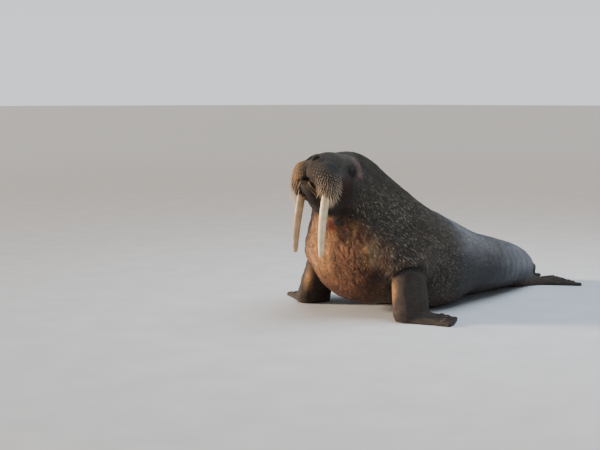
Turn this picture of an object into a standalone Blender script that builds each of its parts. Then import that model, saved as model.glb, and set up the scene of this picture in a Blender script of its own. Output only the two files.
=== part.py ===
# A life-size bull walrus, hauled out and propped up on its fore flippers.
# Metres, +Z up, head towards +X, the animal's left towards +Y, floor at z = 0.

import math
import random

import bmesh
import bpy
import numpy as np
from mathutils import Matrix, Vector
from mathutils.bvhtree import BVHTree

# Driving dimensions
GAP = 0.0003                # between nodes that meet
HEAD_AT = (0.42, 0.0, 1.16)
HEAD_PITCH = math.radians(22.0)     # nose raised
HEAD_YAW = math.radians(9.0)        # turned a little to its left
YAW_RAMP = (0.35, 0.95)             # where along the neck the turn starts and ends

# In the head's frame: forward, left, up
EYE_AT = (-0.056, 0.150, 0.066)
EYE_RADIUS = 0.030
LID_RING = 0.034
LID_SQUASH = 1.45               # the opening between the lids is this many times longer than high
LID_THICKNESS = 0.0090
LID_OUT = 0.014             # of the lids' ring beyond the eye's centre
EAR_AT = (-0.205, 0.015)    # forward, up
EAR_RADII = (0.016, 0.014, 0.009)
MOUTH_PLANE = 0.075         # the muzzle and the jaw start this far forward
TUSK_ROOT = (0.150, 0.122, -0.120)
TUSK_BACK = (math.radians(6.0), math.radians(25.0))     # its lean at the root and at the tip
TUSK_LENGTHS = {"left": 0.576, "right": 0.560}
TUSK_SPLAY = {"left": -0.035, "right": 0.072}           # outwards, for each metre down
TUSK_HALF_WIDTH = 0.031     # across the head
TUSK_HALF_DEPTH = 0.039     # fore and aft
TUSK_TAPER = ((0.0, 1.0), (0.45, 0.94), (0.75, 0.80), (0.92, 0.64), (0.98, 0.50), (1.0, 0.24))
TUSK_SIDES = 12

# Budgets, in triangles
TRUNK_TRIANGLES = 6850
MUZZLE_TRIANGLES = 1450
JAW_TRIANGLES = 680

# Whiskers: seen from a point in each pad, degrees up and degrees round from straight ahead
WHISKER_ORIGIN = (0.130, 0.100, -0.080)
WHISKER_ROWS = (24, 8, -8, -24, -40, -56)
WHISKER_ROUND = (-14, 106)
WHISKERS_IN_ROW = 9
WHISKER_LENGTHS = (0.032, 0.108)    # in the top row and in the bottom row
WHISKER_RADII = (0.0016, 0.0014, 0.0010)
WHISKER_SUNK = 0.010
CLAW_SUNK = 0.010
CLAW_BACK = 0.062           # of the claw's root from the digit's tip
CLAW_SIDES = 6
FORE_CLAW = (0.044, 0.0115)         # length clear of the skin, radius
HIND_CLAWS = ((0.026, 0.008), (0.050, 0.012), (0.054, 0.012), (0.050, 0.012), (0.026, 0.008))

# Planes that part the trunk: a point x and z, and the normal's angle above the horizon in degrees
TRUNK_CUTS = (
    ("head", (0.170, 1.030), 42.0),
    ("neck", (-0.050, 0.800), 60.0),
    ("chest", (-0.750, 0.400), 0.0),
    ("torso", (-1.600, 0.200), 0.0),
    ("rump", (-2.300, 0.100), -20.0),
)
FOREARM_BOX = ((-0.290, 0.405, -0.200), (0.290, 1.200, 0.385))
FLIPPER_TOP = 0.130         # the forearm ends and the fore flipper starts at this height
HIND_CUT = 0.090            # the hind flipper starts this far beyond the ankle

# The trunk, neck and head core: an oval carried along a spine.
# Each station: x, z, half height above, half height below, half width
TRUNK = {
    "tail root": (-2.32, 0.135, 0.070, 0.090, 0.085),
    "rump": (-2.20, 0.160, 0.135, 0.160, 0.165),
    "hips": (-2.00, 0.195, 0.205, 0.210, 0.262),
    "loin": (-1.65, 0.235, 0.262, 0.250, 0.372),
    "belly": (-1.30, 0.285, 0.300, 0.300, 0.450),
    "ribs": (-0.95, 0.345, 0.372, 0.362, 0.510),
    "withers": (-0.62, 0.440, 0.405, 0.460, 0.545),
    "shoulder": (-0.33, 0.585, 0.388, 0.545, 0.545),
    "neck base": (-0.08, 0.765, 0.372, 0.545, 0.500),
    "neck": (0.10, 0.930, 0.355, 0.425, 0.385),
    "nape": (0.25, 1.075, 0.322, 0.320, 0.255),
    "skull": (0.37, 1.150, 0.220, 0.250, 0.160),
    "snout": (0.50, 1.195, 0.165, 0.180, 0.135),
    "nose": (0.59, 1.225, 0.110, 0.120, 0.100),
}
TRUNK_SAMPLES = 72
TAIL_CAP, NOSE_CAP = 0.10, 0.06

# Forms of the head, in its own frame: centre, radii, pitch in degrees, blend
HEAD_FORMS = {
    "bridge": ((0.100, 0.000, 0.060), (0.160, 0.085, 0.090), -18, 0.05),
    "brow": ((-0.060, 0.112, 0.108), (0.070, 0.042, 0.036), -18, 0.05),
    "cheek": ((-0.010, 0.115, -0.080), (0.120, 0.090, 0.120), 0, 0.07),
    "jowl": ((-0.060, 0.085, -0.190), (0.115, 0.096, 0.102), 0, 0.08),
}
MUZZLE_FORMS = {
    "whisker pad": ((0.172, 0.096, -0.047), (0.118, 0.110, 0.113), 0, 0.022),
    "inner pad": ((0.185, 0.045, -0.034), (0.098, 0.080, 0.100), 0, 0.03),
    "pad lobe": ((0.135, 0.142, -0.125), (0.115, 0.072, 0.112), 0, 0.04),
    "mouth corner": ((0.075, 0.110, -0.155), (0.060, 0.056, 0.080), 0, 0.04),
    "nose block": ((0.200, 0.000, 0.044), (0.076, 0.086, 0.064), 0, 0.03),
}
JAW_FORMS = {
    "chin": ((0.120, 0.000, -0.200), (0.115, 0.078, 0.078), 25, 0.05),
    "lower lip": ((0.192, 0.000, -0.166), (0.060, 0.074, 0.060), 0, 0.03),
    "jaw root": ((-0.020, 0.000, -0.200), (0.150, 0.110, 0.090), 0, 0.06),
}
# Forms of the body, left side
BODY_FORMS = {
    "breast": ((-0.010, 0.000, 0.430), (0.390, 0.430, 0.350), 20, 0.16),
    "shoulder mass": ((-0.140, 0.340, 0.560), (0.330, 0.250, 0.270), 15, 0.14),
    "flank": ((-0.520, 0.290, 0.270), (0.480, 0.240, 0.270), 8, 0.12),
}
SLEEVE = ((-0.040, 0.430, 0.500), (0.215, 0.165, 0.135), 0, 0.08)
NOSTRIL = ((0.266, 0.032, 0.066), (0.030, 0.015, 0.022), -30, 0.010)
EYE_MOUND = ((-0.056, 0.108, 0.066), (0.078, 0.052, 0.064), 0, 0.04)

# Ridges: points of a path, radius, blend. Those of the head are in its own frame
BROW_RIDGE = (
    ((-0.045, 0.085, 0.170), (-0.090, 0.112, 0.166), (-0.108, 0.142, 0.140), (-0.120, 0.166, 0.095),
     (-0.112, 0.182, 0.045)),
    0.020, 0.04,
)
LIP_FOLDS = (
    (((0.244, 0.040, -0.134), (0.232, 0.066, -0.166), (0.205, 0.084, -0.200), (0.162, 0.092, -0.232)), 0.010, 0.006),
    (((0.240, 0.020, -0.156), (0.222, 0.046, -0.190), (0.184, 0.066, -0.228)), 0.010, 0.006),
)
MOUTH_LINE = (
    ((0.228, 0.000, -0.104), (0.244, 0.036, -0.110), (0.243, 0.066, -0.132), (0.230, 0.087, -0.168),
     (0.200, 0.100, -0.205)),
    0.010, 0.008,
)
THROAT_FOLD = (
    ((0.405, 0.000, 0.772), (0.408, 0.070, 0.782), (0.380, 0.150, 0.810), (0.300, 0.225, 0.860)), 0.030, 0.05
)
# The body's skin ends in a roll over the top of the fore limb, with a crease under it
SLEEVE_ROLL = (
    ((0.110, 0.430, 0.340), (0.115, 0.500, 0.420), (0.070, 0.568, 0.468), (-0.048, 0.585, 0.450),
     (-0.160, 0.560, 0.395), (-0.225, 0.500, 0.330), (-0.230, 0.420, 0.300)),
    0.036, 0.05,
)
SLEEVE_CREASE = (
    ((0.142, 0.455, 0.335), (0.139, 0.488, 0.362), (0.126, 0.526, 0.394), (0.104, 0.562, 0.421), (0.060, 0.600, 0.436),
     (0.005, 0.614, 0.424), (-0.049, 0.625, 0.405), (-0.100, 0.623, 0.385), (-0.149, 0.606, 0.357), (-0.187, 0.573, 0.325)),
    0.010, 0.010,
)
SHOULDER = (-0.068, 0.470, 0.500)   # the fore limb's upper end
LIMB_BLEND = 0.025
# The soft front of the muzzle hangs a little to the animal's right, as far as SAG at its middle
SAG = 0.036
SAG_FORWARD = (0.060, 0.200)        # in the head's frame: where the shift starts and where it is full
SAG_TOP = (0.080, -0.020)
SAG_BOTTOM = (-0.240, -0.150)
SAG_SIDE = (0.260, 0.040)

# Limbs
WRIST = (0.000, 0.585, 0.050)
FORE_HEADING = math.radians(122.0)  # where the left hand points, from the head's way round to the left
HIND_HEADING = math.radians(156.0)
ANKLE = (-2.17, 0.140, 0.060)
# Digits from the first to the fifth: spread in degrees, distance of the root to the side, length
HAND_DIGITS = (
    (16, 0.082, 0.296), (9, 0.045, 0.300), (1, 0.005, 0.290), (-8, -0.035, 0.272), (-18, -0.072, 0.245)
)
FOOT_DIGITS = (
    (27, 0.045, 0.430), (14, 0.024, 0.395), (0, 0.000, 0.375), (-14, -0.024, 0.390), (-27, -0.045, 0.425)
)

# Finishes: colour as linear red, green and blue, then roughness
FINISHES = {
    "head": ((0.095, 0.068, 0.052), 0.60),
    "muzzle": ((0.110, 0.074, 0.055), 0.55),
    "lower_jaw": ((0.125, 0.080, 0.058), 0.60),
    "neck": ((0.088, 0.070, 0.052), 0.62),
    "chest": ((0.175, 0.088, 0.045), 0.64),
    "torso": ((0.100, 0.079, 0.060), 0.58),
    "rump": ((0.092, 0.080, 0.072), 0.55),
    "tail": ((0.082, 0.070, 0.062), 0.60),
    "forearm": ((0.080, 0.057, 0.042), 0.64),
    "fore_flipper": ((0.060, 0.046, 0.037), 0.68),
    "hind_flipper": ((0.062, 0.050, 0.043), 0.66),
    "tusk": ((0.760, 0.680, 0.540), 0.38),
    "eye": ((0.016, 0.010, 0.008), 0.10),
}
SHARP_FROM = math.radians(50.0)


def smooth_union(a, b, blend):
    h = np.maximum(blend - np.abs(a - b), 0.0) / blend
    return np.minimum(a, b) - h * h * blend / 4


def smooth_cut(a, b, blend):
    """What is left of a when b is taken out of it."""
    return -smooth_union(-a, b, blend)


def oval(parts, radii):
    """Near enough the distance to an ellipsoid: parts are the distances from its centre along its axes."""
    first = np.sqrt(sum((p / r) ** 2 for p, r in zip(parts, radii)))
    second = np.sqrt(sum((p / r**2) ** 2 for p, r in zip(parts, radii)))
    return first * (first - 1.0) / np.maximum(second, 1e-9)


def pitched(points, centre, pitch):
    """Distances forward, left and up from a centre, in a frame whose nose is raised by pitch."""
    away = points - np.asarray(centre)
    c, s = math.cos(pitch), math.sin(pitch)
    return (
        c * away[:, 0] + s * away[:, 2],
        away[:, 1],
        -s * away[:, 0] + c * away[:, 2],
    )


def natural_spline(values, samples):
    """A natural cubic spline through values at 0, 1, 2 ..., read at samples."""
    values = np.asarray(values, float)
    n = len(values)
    matrix = np.eye(n)
    right = np.zeros_like(values)
    for i in range(1, n - 1):
        matrix[i, i - 1 : i + 2] = (1.0, 4.0, 1.0)
        right[i] = 6.0 * (values[i + 1] - 2.0 * values[i] + values[i - 1])
    bend = np.linalg.solve(matrix, right)
    i = np.minimum(samples.astype(int), n - 2)
    t = (samples - i)[:, None]
    u = 1.0 - t
    return (
        u * values[i]
        + t * values[i + 1]
        + ((u**3 - u) * bend[i] + (t**3 - t) * bend[i + 1]) / 6.0
    )


SPINE = natural_spline(
    list(TRUNK.values()), np.linspace(0, len(TRUNK) - 1, TRUNK_SAMPLES + 1)
)


def trunk_field(points):
    """Distance to the oval carried along the spine, which lies in the animal's middle plane."""
    start, step = SPINE[:-1, :2], np.diff(SPINE[:, :2], axis=0)
    length = np.linalg.norm(step, axis=1)
    ahead = step / length[:, None]
    turn = np.vstack((ahead[:1], ahead[1:] + ahead[:-1], ahead[-1:]))
    turn /= np.linalg.norm(turn, axis=1)[:, None]
    out = np.empty(len(points))
    for first in range(0, len(points), 30000):
        part = points[first : first + 30000]
        flat = part[:, [0, 2]]
        away = flat[:, None] - start[None]
        along = (away * ahead).sum(axis=2)
        across = ahead[:, 0] * away[..., 1] - ahead[:, 1] * away[..., 0]
        over = along - np.clip(along, 0.0, length)
        near = np.argmin(over**2 + across**2, axis=1)
        behind = ((flat - start[near]) * turn[near]).sum(axis=1)
        before = ((SPINE[near + 1, :2] - flat) * turn[near + 1]).sum(axis=1)
        share = np.clip(behind / np.maximum(behind + before, 1e-6), 0.0, 1.0)[:, None]
        station = SPINE[near] * (1.0 - share) + SPINE[near + 1] * share
        away = flat - station[:, :2]
        side = ahead[near, 0] * away[:, 1] - ahead[near, 1] * away[:, 0]
        over = np.where((near == 0) & (behind < 0), behind, 0.0)
        over = np.where((near == len(length) - 1) & (before < 0), -before, over)
        height = np.where(over == 0, np.copysign(np.hypot(away[:, 0], away[:, 1]), side), side)
        up_or_down = np.where(height > 0, station[:, 2], station[:, 3])
        cap = np.where(over < 0, TAIL_CAP, NOSE_CAP)
        out[first : first + 30000] = oval(
            (part[:, 1], height, over), (station[:, 4], up_or_down, cap)
        )
    return out


def smooth_step(ends, values):
    """0 at the first end, 1 at the second, smoothly in between."""
    share = np.clip((values - ends[0]) / (ends[1] - ends[0]), 0.0, 1.0)
    return share * share * (3 - 2 * share)


def both_frames(points):
    """Points moved to where they would be with the head held straight, on the body and in the head's frame.

    The right side is folded onto the left in both."""
    angle = -HEAD_YAW * smooth_step(YAW_RAMP, 0.65 * points[:, 0] + 0.75 * points[:, 2])
    c, s = np.cos(angle), np.sin(angle)
    x = c * points[:, 0] - s * points[:, 1]
    y = s * points[:, 0] + c * points[:, 1]
    forward, left, up = pitched(np.column_stack((x, y, points[:, 2])), HEAD_AT, HEAD_PITCH)
    share = smooth_step(SAG_FORWARD, forward) * smooth_step(SAG_SIDE, np.abs(left))
    share *= smooth_step(SAG_TOP, up) * smooth_step(SAG_BOTTOM, up)
    head = np.column_stack((forward, np.abs(left + SAG * share), up))
    return np.column_stack((x, np.abs(y), points[:, 2])), head


def add_form(field, points, form, cut=False):
    """Joins an ellipsoid to the field, or takes it out, near that ellipsoid only."""
    centre, radii, pitch, blend = form
    near = (np.abs(points - np.asarray(centre)) < max(radii) + 0.10).all(axis=1)
    shape = oval(pitched(points[near], centre, math.radians(pitch)), radii)
    mix = smooth_cut if cut else smooth_union
    field[near] = mix(field[near], shape, blend)


def add_ridge(field, points, ridge, cut=False):
    """Joins a round ridge along a path to the field, or cuts it out as a groove."""
    path, radius, blend = ridge
    path = np.array(path)
    low, high = path.min(axis=0) - radius - 0.08, path.max(axis=0) + radius + 0.08
    near = ((points > low) & (points < high)).all(axis=1)
    away = points[near][:, None] - path[None, :-1]
    step = np.diff(path, axis=0)
    share = np.clip((away * step).sum(axis=2) / (step**2).sum(axis=1), 0.0, 1.0)
    far = np.linalg.norm(away - share[..., None] * step, axis=2).min(axis=1)
    mix = smooth_cut if cut else smooth_union
    field[near] = mix(field[near], far - radius, blend)


def limb(points, start, end, wide, start_size, end_size):
    """Near enough the distance to a flattened, tapered, round-ended bar."""
    start, end = np.asarray(start, float), np.asarray(end, float)
    length = np.linalg.norm(end - start)
    forward = (end - start) / length
    wide = np.asarray(wide, float) - np.dot(wide, forward) * forward
    wide /= np.linalg.norm(wide)
    thin = np.cross(forward, wide)
    away = points - start
    along = away @ forward
    inside = np.clip(along, 0.0, length)
    share = inside / length
    half_width = start_size[0] + (end_size[0] - start_size[0]) * share
    half_thick = start_size[1] + (end_size[1] - start_size[1]) * share
    return oval((along - inside, away @ wide, away @ thin), (half_thick, half_width, half_thick))


def add_limb(field, points, blend, start, end, *shape):
    low = np.minimum(start, end) - 0.30
    high = np.maximum(start, end) + 0.30
    near = ((points > low) & (points < high)).all(axis=1)
    field[near] = smooth_union(field[near], limb(points[near], start, end, *shape), blend)


def heading(angle, lift=0.0):
    return np.array((math.cos(angle), math.sin(angle), lift))


def hand_bars():
    """The bars of the left fore flipper: palm, web and digits, as arguments of add_limb."""
    ahead = heading(FORE_HEADING)
    side = heading(FORE_HEADING - math.pi / 2)
    floor = np.array((WRIST[0], WRIST[1], 0.010))
    yield 0.05, floor, floor + 0.16 * ahead, side, (0.130, 0.075), (0.155, 0.040)
    web = floor + 0.06 * ahead
    yield 0.03, web, web + 0.282 * ahead, side, (0.140, 0.046), (0.178, 0.024)
    for spread, sideways, reach in HAND_DIGITS:
        root = floor + sideways * side + 0.04 * ahead
        tip = root + reach * heading(FORE_HEADING - math.radians(spread))
        yield 0.02, root, tip, side, (0.034, 0.052), (0.026, 0.027)


def foot_bars():
    """The bars of the left hind flipper, laid back and out on the floor."""
    ankle = np.array((ANKLE[0], ANKLE[1], 0.012))
    ahead = heading(HIND_HEADING)
    side = heading(HIND_HEADING - math.pi / 2)
    yield 0.06, np.array((-1.96, 0.115, 0.11)), ankle, side, (0.120, 0.110), (0.095, 0.078)
    yield 0.05, ankle, ankle + 0.16 * ahead, side, (0.095, 0.075), (0.125, 0.040)
    web = ankle + 0.10 * ahead
    yield 0.03, web, web + 0.305 * ahead, side, (0.100, 0.040), (0.214, 0.017)
    for spread, sideways, reach in FOOT_DIGITS:
        root = ankle + sideways * side + 0.03 * ahead
        tip = root + reach * heading(HIND_HEADING - math.radians(spread))
        yield 0.02, root, tip, side, (0.030, 0.045), (0.026, 0.022)


def head_field(points, head):
    field = trunk_field(points)
    for name in HEAD_FORMS:
        add_form(field, head, HEAD_FORMS[name])
    return field


def muzzle_field(points):
    """The upper half of the muzzle: head core, whisker pads and nose."""
    points, head = both_frames(points)
    field = head_field(points, head)
    for name in MUZZLE_FORMS:
        add_form(field, head, MUZZLE_FORMS[name])
    add_ridge(field, head, MOUTH_LINE, cut=True)
    add_form(field, head, NOSTRIL, cut=True)
    return field


def jaw_field(points):
    points, head = both_frames(points)
    field = np.full(len(points), 1.0)
    for name in JAW_FORMS:
        add_form(field, head, JAW_FORMS[name])
    for fold in LIP_FOLDS:
        add_ridge(field, head, fold)
    add_ridge(field, head, MOUTH_LINE, cut=True)
    return field


def walrus_field(points):
    """The whole animal's flesh."""
    points, head = both_frames(points)
    field = head_field(points, head)
    for name in BODY_FORMS:
        add_form(field, points, BODY_FORMS[name])
    for forms in (MUZZLE_FORMS, JAW_FORMS):
        for name in forms:
            add_form(field, head, forms[name])
    for ridge in (*LIP_FOLDS, BROW_RIDGE):
        add_ridge(field, head, ridge)
    add_ridge(field, head, MOUTH_LINE, cut=True)
    add_form(field, head, NOSTRIL, cut=True)
    add_form(field, head, EYE_MOUND)
    away = head - np.asarray(EYE_AT)
    ring = np.hypot(np.hypot(away[:, 0], LID_SQUASH * away[:, 2]) - LID_RING, away[:, 1] - LID_OUT)
    near = np.abs(away).max(axis=1) < 0.12
    field[near] = smooth_union(field[near], ring[near] - LID_THICKNESS, 0.015)
    add_ridge(field, points, THROAT_FOLD)
    add_form(field, points, SLEEVE)
    add_ridge(field, points, SLEEVE_ROLL)
    add_limb(field, points, LIMB_BLEND, SHOULDER, WRIST, (1, 0, 0), (0.155, 0.132), (0.178, 0.118))
    add_ridge(field, points, SLEEVE_CREASE, cut=True)
    for blend, *bar in hand_bars():
        add_limb(field, points, blend, *bar)
    for blend, *bar in foot_bars():
        add_limb(field, points, blend, *bar)
    add_limb(
        field, points, 0.04, (-2.28, 0.0, 0.12), (-2.44, 0.0, 0.050), (0, 1, 0), (0.055, 0.050), (0.030, 0.022)
    )
    return field


def axis_points(low, high, places, steps):
    """Points of one lattice axis, whose spacing follows steps given at places. Their number is 4n + 1."""
    found = [low]
    while found[-1] < high or len(found) % 4 != 1:
        found.append(found[-1] + float(np.interp(found[-1], places, steps)))
    return np.array(found)


def lattice_values(field, axes, block=4):
    """The field at every lattice point near the surface, and its sign elsewhere."""
    shape = tuple(len(axis) for axis in axes)
    coarse_axes = [axis[::block] for axis in axes]
    grid = np.stack(np.meshgrid(*coarse_axes, indexing="ij"), axis=-1)
    coarse = field(grid.reshape(-1, 3)).reshape(grid.shape[:3])
    corners = [
        coarse[i : len(coarse_axes[0]) - 1 + i, j : len(coarse_axes[1]) - 1 + j, k : len(coarse_axes[2]) - 1 + k]
        for i in (0, 1)
        for j in (0, 1)
        for k in (0, 1)
    ]
    sides = np.meshgrid(*(np.diff(axis) for axis in coarse_axes), indexing="ij")
    reach = 0.9 * np.sqrt(sum(side**2 for side in sides))
    active = np.min(np.abs(corners), axis=0) < reach
    values = np.repeat(np.repeat(np.repeat(coarse, block, 0), block, 1), block, 2)
    values = values[: shape[0], : shape[1], : shape[2]].copy()
    wanted = np.zeros(shape, bool)
    for i in range(block + 1):
        for j in range(block + 1):
            for k in range(block + 1):
                view = wanted[i : i + block * active.shape[0] : block,
                              j : j + block * active.shape[1] : block,
                              k : k + block * active.shape[2] : block]
                view |= active[: view.shape[0], : view.shape[1], : view.shape[2]]
    i, j, k = np.nonzero(wanted)
    points = np.column_stack((axes[0][i], axes[1][j], axes[2][k]))
    values[i, j, k] = field(points)
    return values


def skin(field, axes):
    """Points and quads of the field's zero surface: one point in each lattice cell that it crosses."""
    values = lattice_values(field, axes)
    inside = values < 0
    n = [size - 1 for size in values.shape]
    count = sum(
        inside[i : n[0] + i, j : n[1] + j, k : n[2] + k].astype(int)
        for i in (0, 1)
        for j in (0, 1)
        for k in (0, 1)
    )
    cells = np.argwhere((count > 0) & (count < 8))
    index = np.full(n, -1)
    index[tuple(cells.T)] = np.arange(len(cells))
    total = np.zeros((len(cells), 3))
    crossings = np.zeros(len(cells))
    for axis in range(3):
        for one in (0, 1):
            for two in (0, 1):
                offset = np.zeros(3, int)
                offset[(axis + 1) % 3], offset[(axis + 2) % 3] = one, two
                a = cells + offset
                b = a.copy()
                b[:, axis] += 1
                fa, fb = values[tuple(a.T)], values[tuple(b.T)]
                cross = (fa < 0) != (fb < 0)
                share = np.where(cross, fa / np.where(cross, fa - fb, 1.0), 0.0)
                place = a + 0.0
                place[:, axis] += share
                total += place * cross[:, None]
                crossings += cross
    place = total / crossings[:, None]
    points = np.column_stack([np.interp(place[:, i], np.arange(len(axes[i])), axes[i]) for i in range(3)])
    size = np.column_stack([np.diff(axes[i])[cells[:, i]] for i in range(3)]).min(axis=1)
    quads = []
    for axis in range(3):
        b, c = (axis + 1) % 3, (axis + 2) % 3
        ahead = np.swapaxes(inside, 0, axis)
        change = np.swapaxes(ahead[1:] != ahead[:-1], 0, axis)
        edges = np.argwhere(change)
        edges = edges[(edges[:, b] > 0) & (edges[:, c] > 0) & (edges[:, b] < n[b]) & (edges[:, c] < n[c])]
        ring = []
        for back_b, back_c in ((1, 1), (0, 1), (0, 0), (1, 0)):
            cell = edges.copy()
            cell[:, b] -= back_b
            cell[:, c] -= back_c
            ring.append(index[tuple(cell.T)])
        ring = np.column_stack(ring)
        outward = inside[tuple(edges.T)]
        quads.append(np.where(outward[:, None], ring, ring[:, ::-1]))
    slope = slope_of(field, points, 0.003)
    steep = np.maximum((slope**2).sum(axis=1), 0.2)
    move = -field(points)[:, None] * slope / steep[:, None]
    far = np.linalg.norm(move, axis=1)
    points = points + move * np.minimum(1.0, 0.4 * size / np.maximum(far, 1e-9))[:, None]
    return points, np.vstack(quads)


def slope_of(field, points, probe):
    slope = np.empty_like(points)
    for axis in range(3):
        shift = np.zeros(3)
        shift[axis] = probe
        slope[:, axis] = (field(points + shift) - field(points - shift)) / (2 * probe)
    return slope


def axes_of(low, high, fine_x, fine_y, fine_z, step, fine_step):
    """Axes of a lattice that is fine beyond fine_x and fine_z, and within fine_y of the middle."""
    return (
        axis_points(low[0], high[0], (fine_x - 0.25, fine_x), (step, fine_step)),
        axis_points(
            low[1], high[1],
            (-fine_y - 0.15, -fine_y, fine_y + 0.05, fine_y + 0.20),
            (step, fine_step, fine_step, step),
        ),
        axis_points(low[2], high[2], (fine_z - 0.20, fine_z), (step, fine_step)),
    )


def head_to_world(at):
    """A point of the head's frame, with the head turned."""
    c, s = math.cos(HEAD_PITCH), math.sin(HEAD_PITCH)
    x = HEAD_AT[0] + c * at[0] - s * at[2]
    z = HEAD_AT[2] + s * at[0] + c * at[2]
    c, s = math.cos(HEAD_YAW), math.sin(HEAD_YAW)
    return Vector((c * x - s * at[1], s * x + c * at[1], z))


def head_direction(of):
    return head_to_world(of) - head_to_world((0.0, 0.0, 0.0))


def mesh_object(name, points, faces):
    mesh = bpy.data.meshes.new(name)
    mesh.from_pydata([tuple(p) for p in points], [], [tuple(f) for f in faces])
    mesh.validate()
    thing = bpy.data.objects.new(name, mesh)
    bpy.context.collection.objects.link(thing)
    return thing


def remove(thing):
    mesh = thing.data
    bpy.data.objects.remove(thing)
    bpy.data.meshes.remove(mesh)


def apply_modifiers(thing):
    bpy.context.view_layer.update()
    graph = bpy.context.evaluated_depsgraph_get()
    mesh = bpy.data.meshes.new_from_object(thing.evaluated_get(graph))
    thing.modifiers.clear()
    old = thing.data
    thing.data = mesh
    bpy.data.meshes.remove(old)


def keep_largest(thing):
    """Leaves only the largest connected surface of the mesh."""
    work = bmesh.new()
    work.from_mesh(thing.data)
    bmesh.ops.remove_doubles(work, verts=work.verts, dist=2e-6)
    loose = [v for v in work.verts if not v.link_faces]
    bmesh.ops.delete(work, geom=loose, context="VERTS")
    left = set(work.verts)
    groups = []
    while left:
        start = left.pop()
        group, front = [start], [start]
        while front:
            for edge in front.pop().link_edges:
                for other in edge.verts:
                    if other in left:
                        left.remove(other)
                        group.append(other)
                        front.append(other)
        groups.append(group)
    groups.sort(key=len)
    for group in groups[:-1]:
        bmesh.ops.delete(work, geom=group, context="VERTS")
    bmesh.ops.triangulate(work, faces=work.faces)
    work.to_mesh(thing.data)
    work.free()


def mended(thing):
    """Opens each place where the surface touches itself along an edge, and closes the holes one by one."""
    work = bmesh.new()
    work.from_mesh(thing.data)
    bmesh.ops.dissolve_degenerate(work, edges=work.edges, dist=1e-4)
    bmesh.ops.triangulate(work, faces=work.faces)
    for _ in range(6):
        touching = {v for edge in work.edges if len(edge.link_faces) > 2 for v in edge.verts}
        touching |= {v for v in work.verts if not v.is_manifold and v.link_faces}
        if not touching:
            break
        bmesh.ops.delete(work, geom=list(touching), context="VERTS")
        bmesh.ops.holes_fill(work, edges=[edge for edge in work.edges if edge.is_boundary], sides=0)
        bmesh.ops.triangulate(work, faces=work.faces)
    work.to_mesh(thing.data)
    work.free()


def decimated(thing, triangles):
    count = sum(len(face.vertices) - 2 for face in thing.data.polygons)
    modifier = thing.modifiers.new("fewer", "DECIMATE")
    modifier.ratio = min(1.0, triangles / count)
    apply_modifiers(thing)


def copied(thing, name):
    other = bpy.data.objects.new(name, thing.data.copy())
    bpy.context.collection.objects.link(other)
    return other


def grown(thing, by):
    """A copy with every point moved out along its normal."""
    other = copied(thing, "grown")
    work = bmesh.new()
    work.from_mesh(other.data)
    work.normal_update()
    for vertex in work.verts:
        vertex.co += by * vertex.calc_shell_factor() * vertex.normal
    work.to_mesh(other.data)
    work.free()
    return other


def boolean(thing, other, operation):
    """Cuts with the other object, or joins it, and removes it."""
    modifier = thing.modifiers.new("cut", "BOOLEAN")
    modifier.operation = operation
    modifier.solver = "EXACT"
    modifier.object = other
    apply_modifiers(thing)
    remove(other)


def cut_off(thing, point, normal):
    """Closes the mesh with a flat face at the plane, and removes what lies beyond it."""
    work = bmesh.new()
    work.from_mesh(thing.data)
    everything = work.verts[:] + work.edges[:] + work.faces[:]
    bmesh.ops.bisect_plane(
        work, geom=everything, dist=1e-6, plane_co=point, plane_no=normal, clear_outer=True
    )
    bmesh.ops.holes_fill(work, edges=[edge for edge in work.edges if edge.is_boundary], sides=0)
    bmesh.ops.triangulate(work, faces=work.faces)
    work.to_mesh(thing.data)
    work.free()


def parted(thing, name, point, normal):
    """Parts the mesh at a plane with a thin gap: returns the piece beyond it, under a new name."""
    point, normal = Vector(point), Vector(normal).normalized()
    beyond = copied(thing, name)
    cut_off(beyond, point + 0.5 * GAP * normal, -normal)
    cut_off(thing, point - 0.5 * GAP * normal, normal)
    return beyond


def box_object(name, corners):
    """A closed box from its eight corners, the four below first, each four counter-clockwise from above."""
    faces = ((3, 2, 1, 0), (4, 5, 6, 7), (0, 1, 5, 4), (1, 2, 6, 5), (2, 3, 7, 6), (3, 0, 4, 7))
    return mesh_object(name, corners, faces)


def upright_box(low, high, side, margin):
    """Corners of a box on one side of the animal, larger by the margin all round."""
    ys = sorted((side * (low[1] - margin), side * (high[1] + margin)))
    xs = (low[0] - margin, high[0] + margin)
    return [
        (x, y, z)
        for z in (low[2] - margin, high[2] + margin)
        for x, y in ((xs[0], ys[0]), (xs[1], ys[0]), (xs[1], ys[1]), (xs[0], ys[1]))
    ]


def hind_box(side, margin):
    """Corners of the box that holds one hind flipper, from just beyond the ankle."""
    ahead = Vector((math.cos(HIND_HEADING), side * math.sin(HIND_HEADING), 0.0))
    across = Vector((-ahead.y, ahead.x, 0.0))
    middle = Vector((ANKLE[0], side * ANKLE[1], 0.0)) + (HIND_CUT - margin) * ahead
    corners = []
    for z in (-0.10 - margin, 0.115 + margin):
        for distance, inwards in ((0.0, 0.120), (0.0, -0.300), (0.60, -0.400), (0.60, 0.396)):
            sideways = inwards + math.copysign(margin, inwards)
            corners.append(middle + distance * ahead + side * sideways * across + Vector((0, 0, z)))
    return corners


def taken_out(thing, name, corners_of):
    """Takes the part within a box out of the mesh, with a thin gap, and returns it under a new name."""
    piece = copied(thing, name)
    for target, margin, operation in ((piece, 0.0, "INTERSECT"), (thing, GAP, "DIFFERENCE")):
        box = box_object("box", corners_of(margin))
        outward(box)
        boolean(target, box, operation)
        keep_largest(target)
    return piece


def outward(thing):
    """Turns every face of a closed mesh outwards."""
    work = bmesh.new()
    work.from_mesh(thing.data)
    bmesh.ops.recalc_face_normals(work, faces=work.faces)
    if work.calc_volume(signed=True) < 0:
        bmesh.ops.reverse_faces(work, faces=work.faces)
    work.to_mesh(thing.data)
    work.free()


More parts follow.
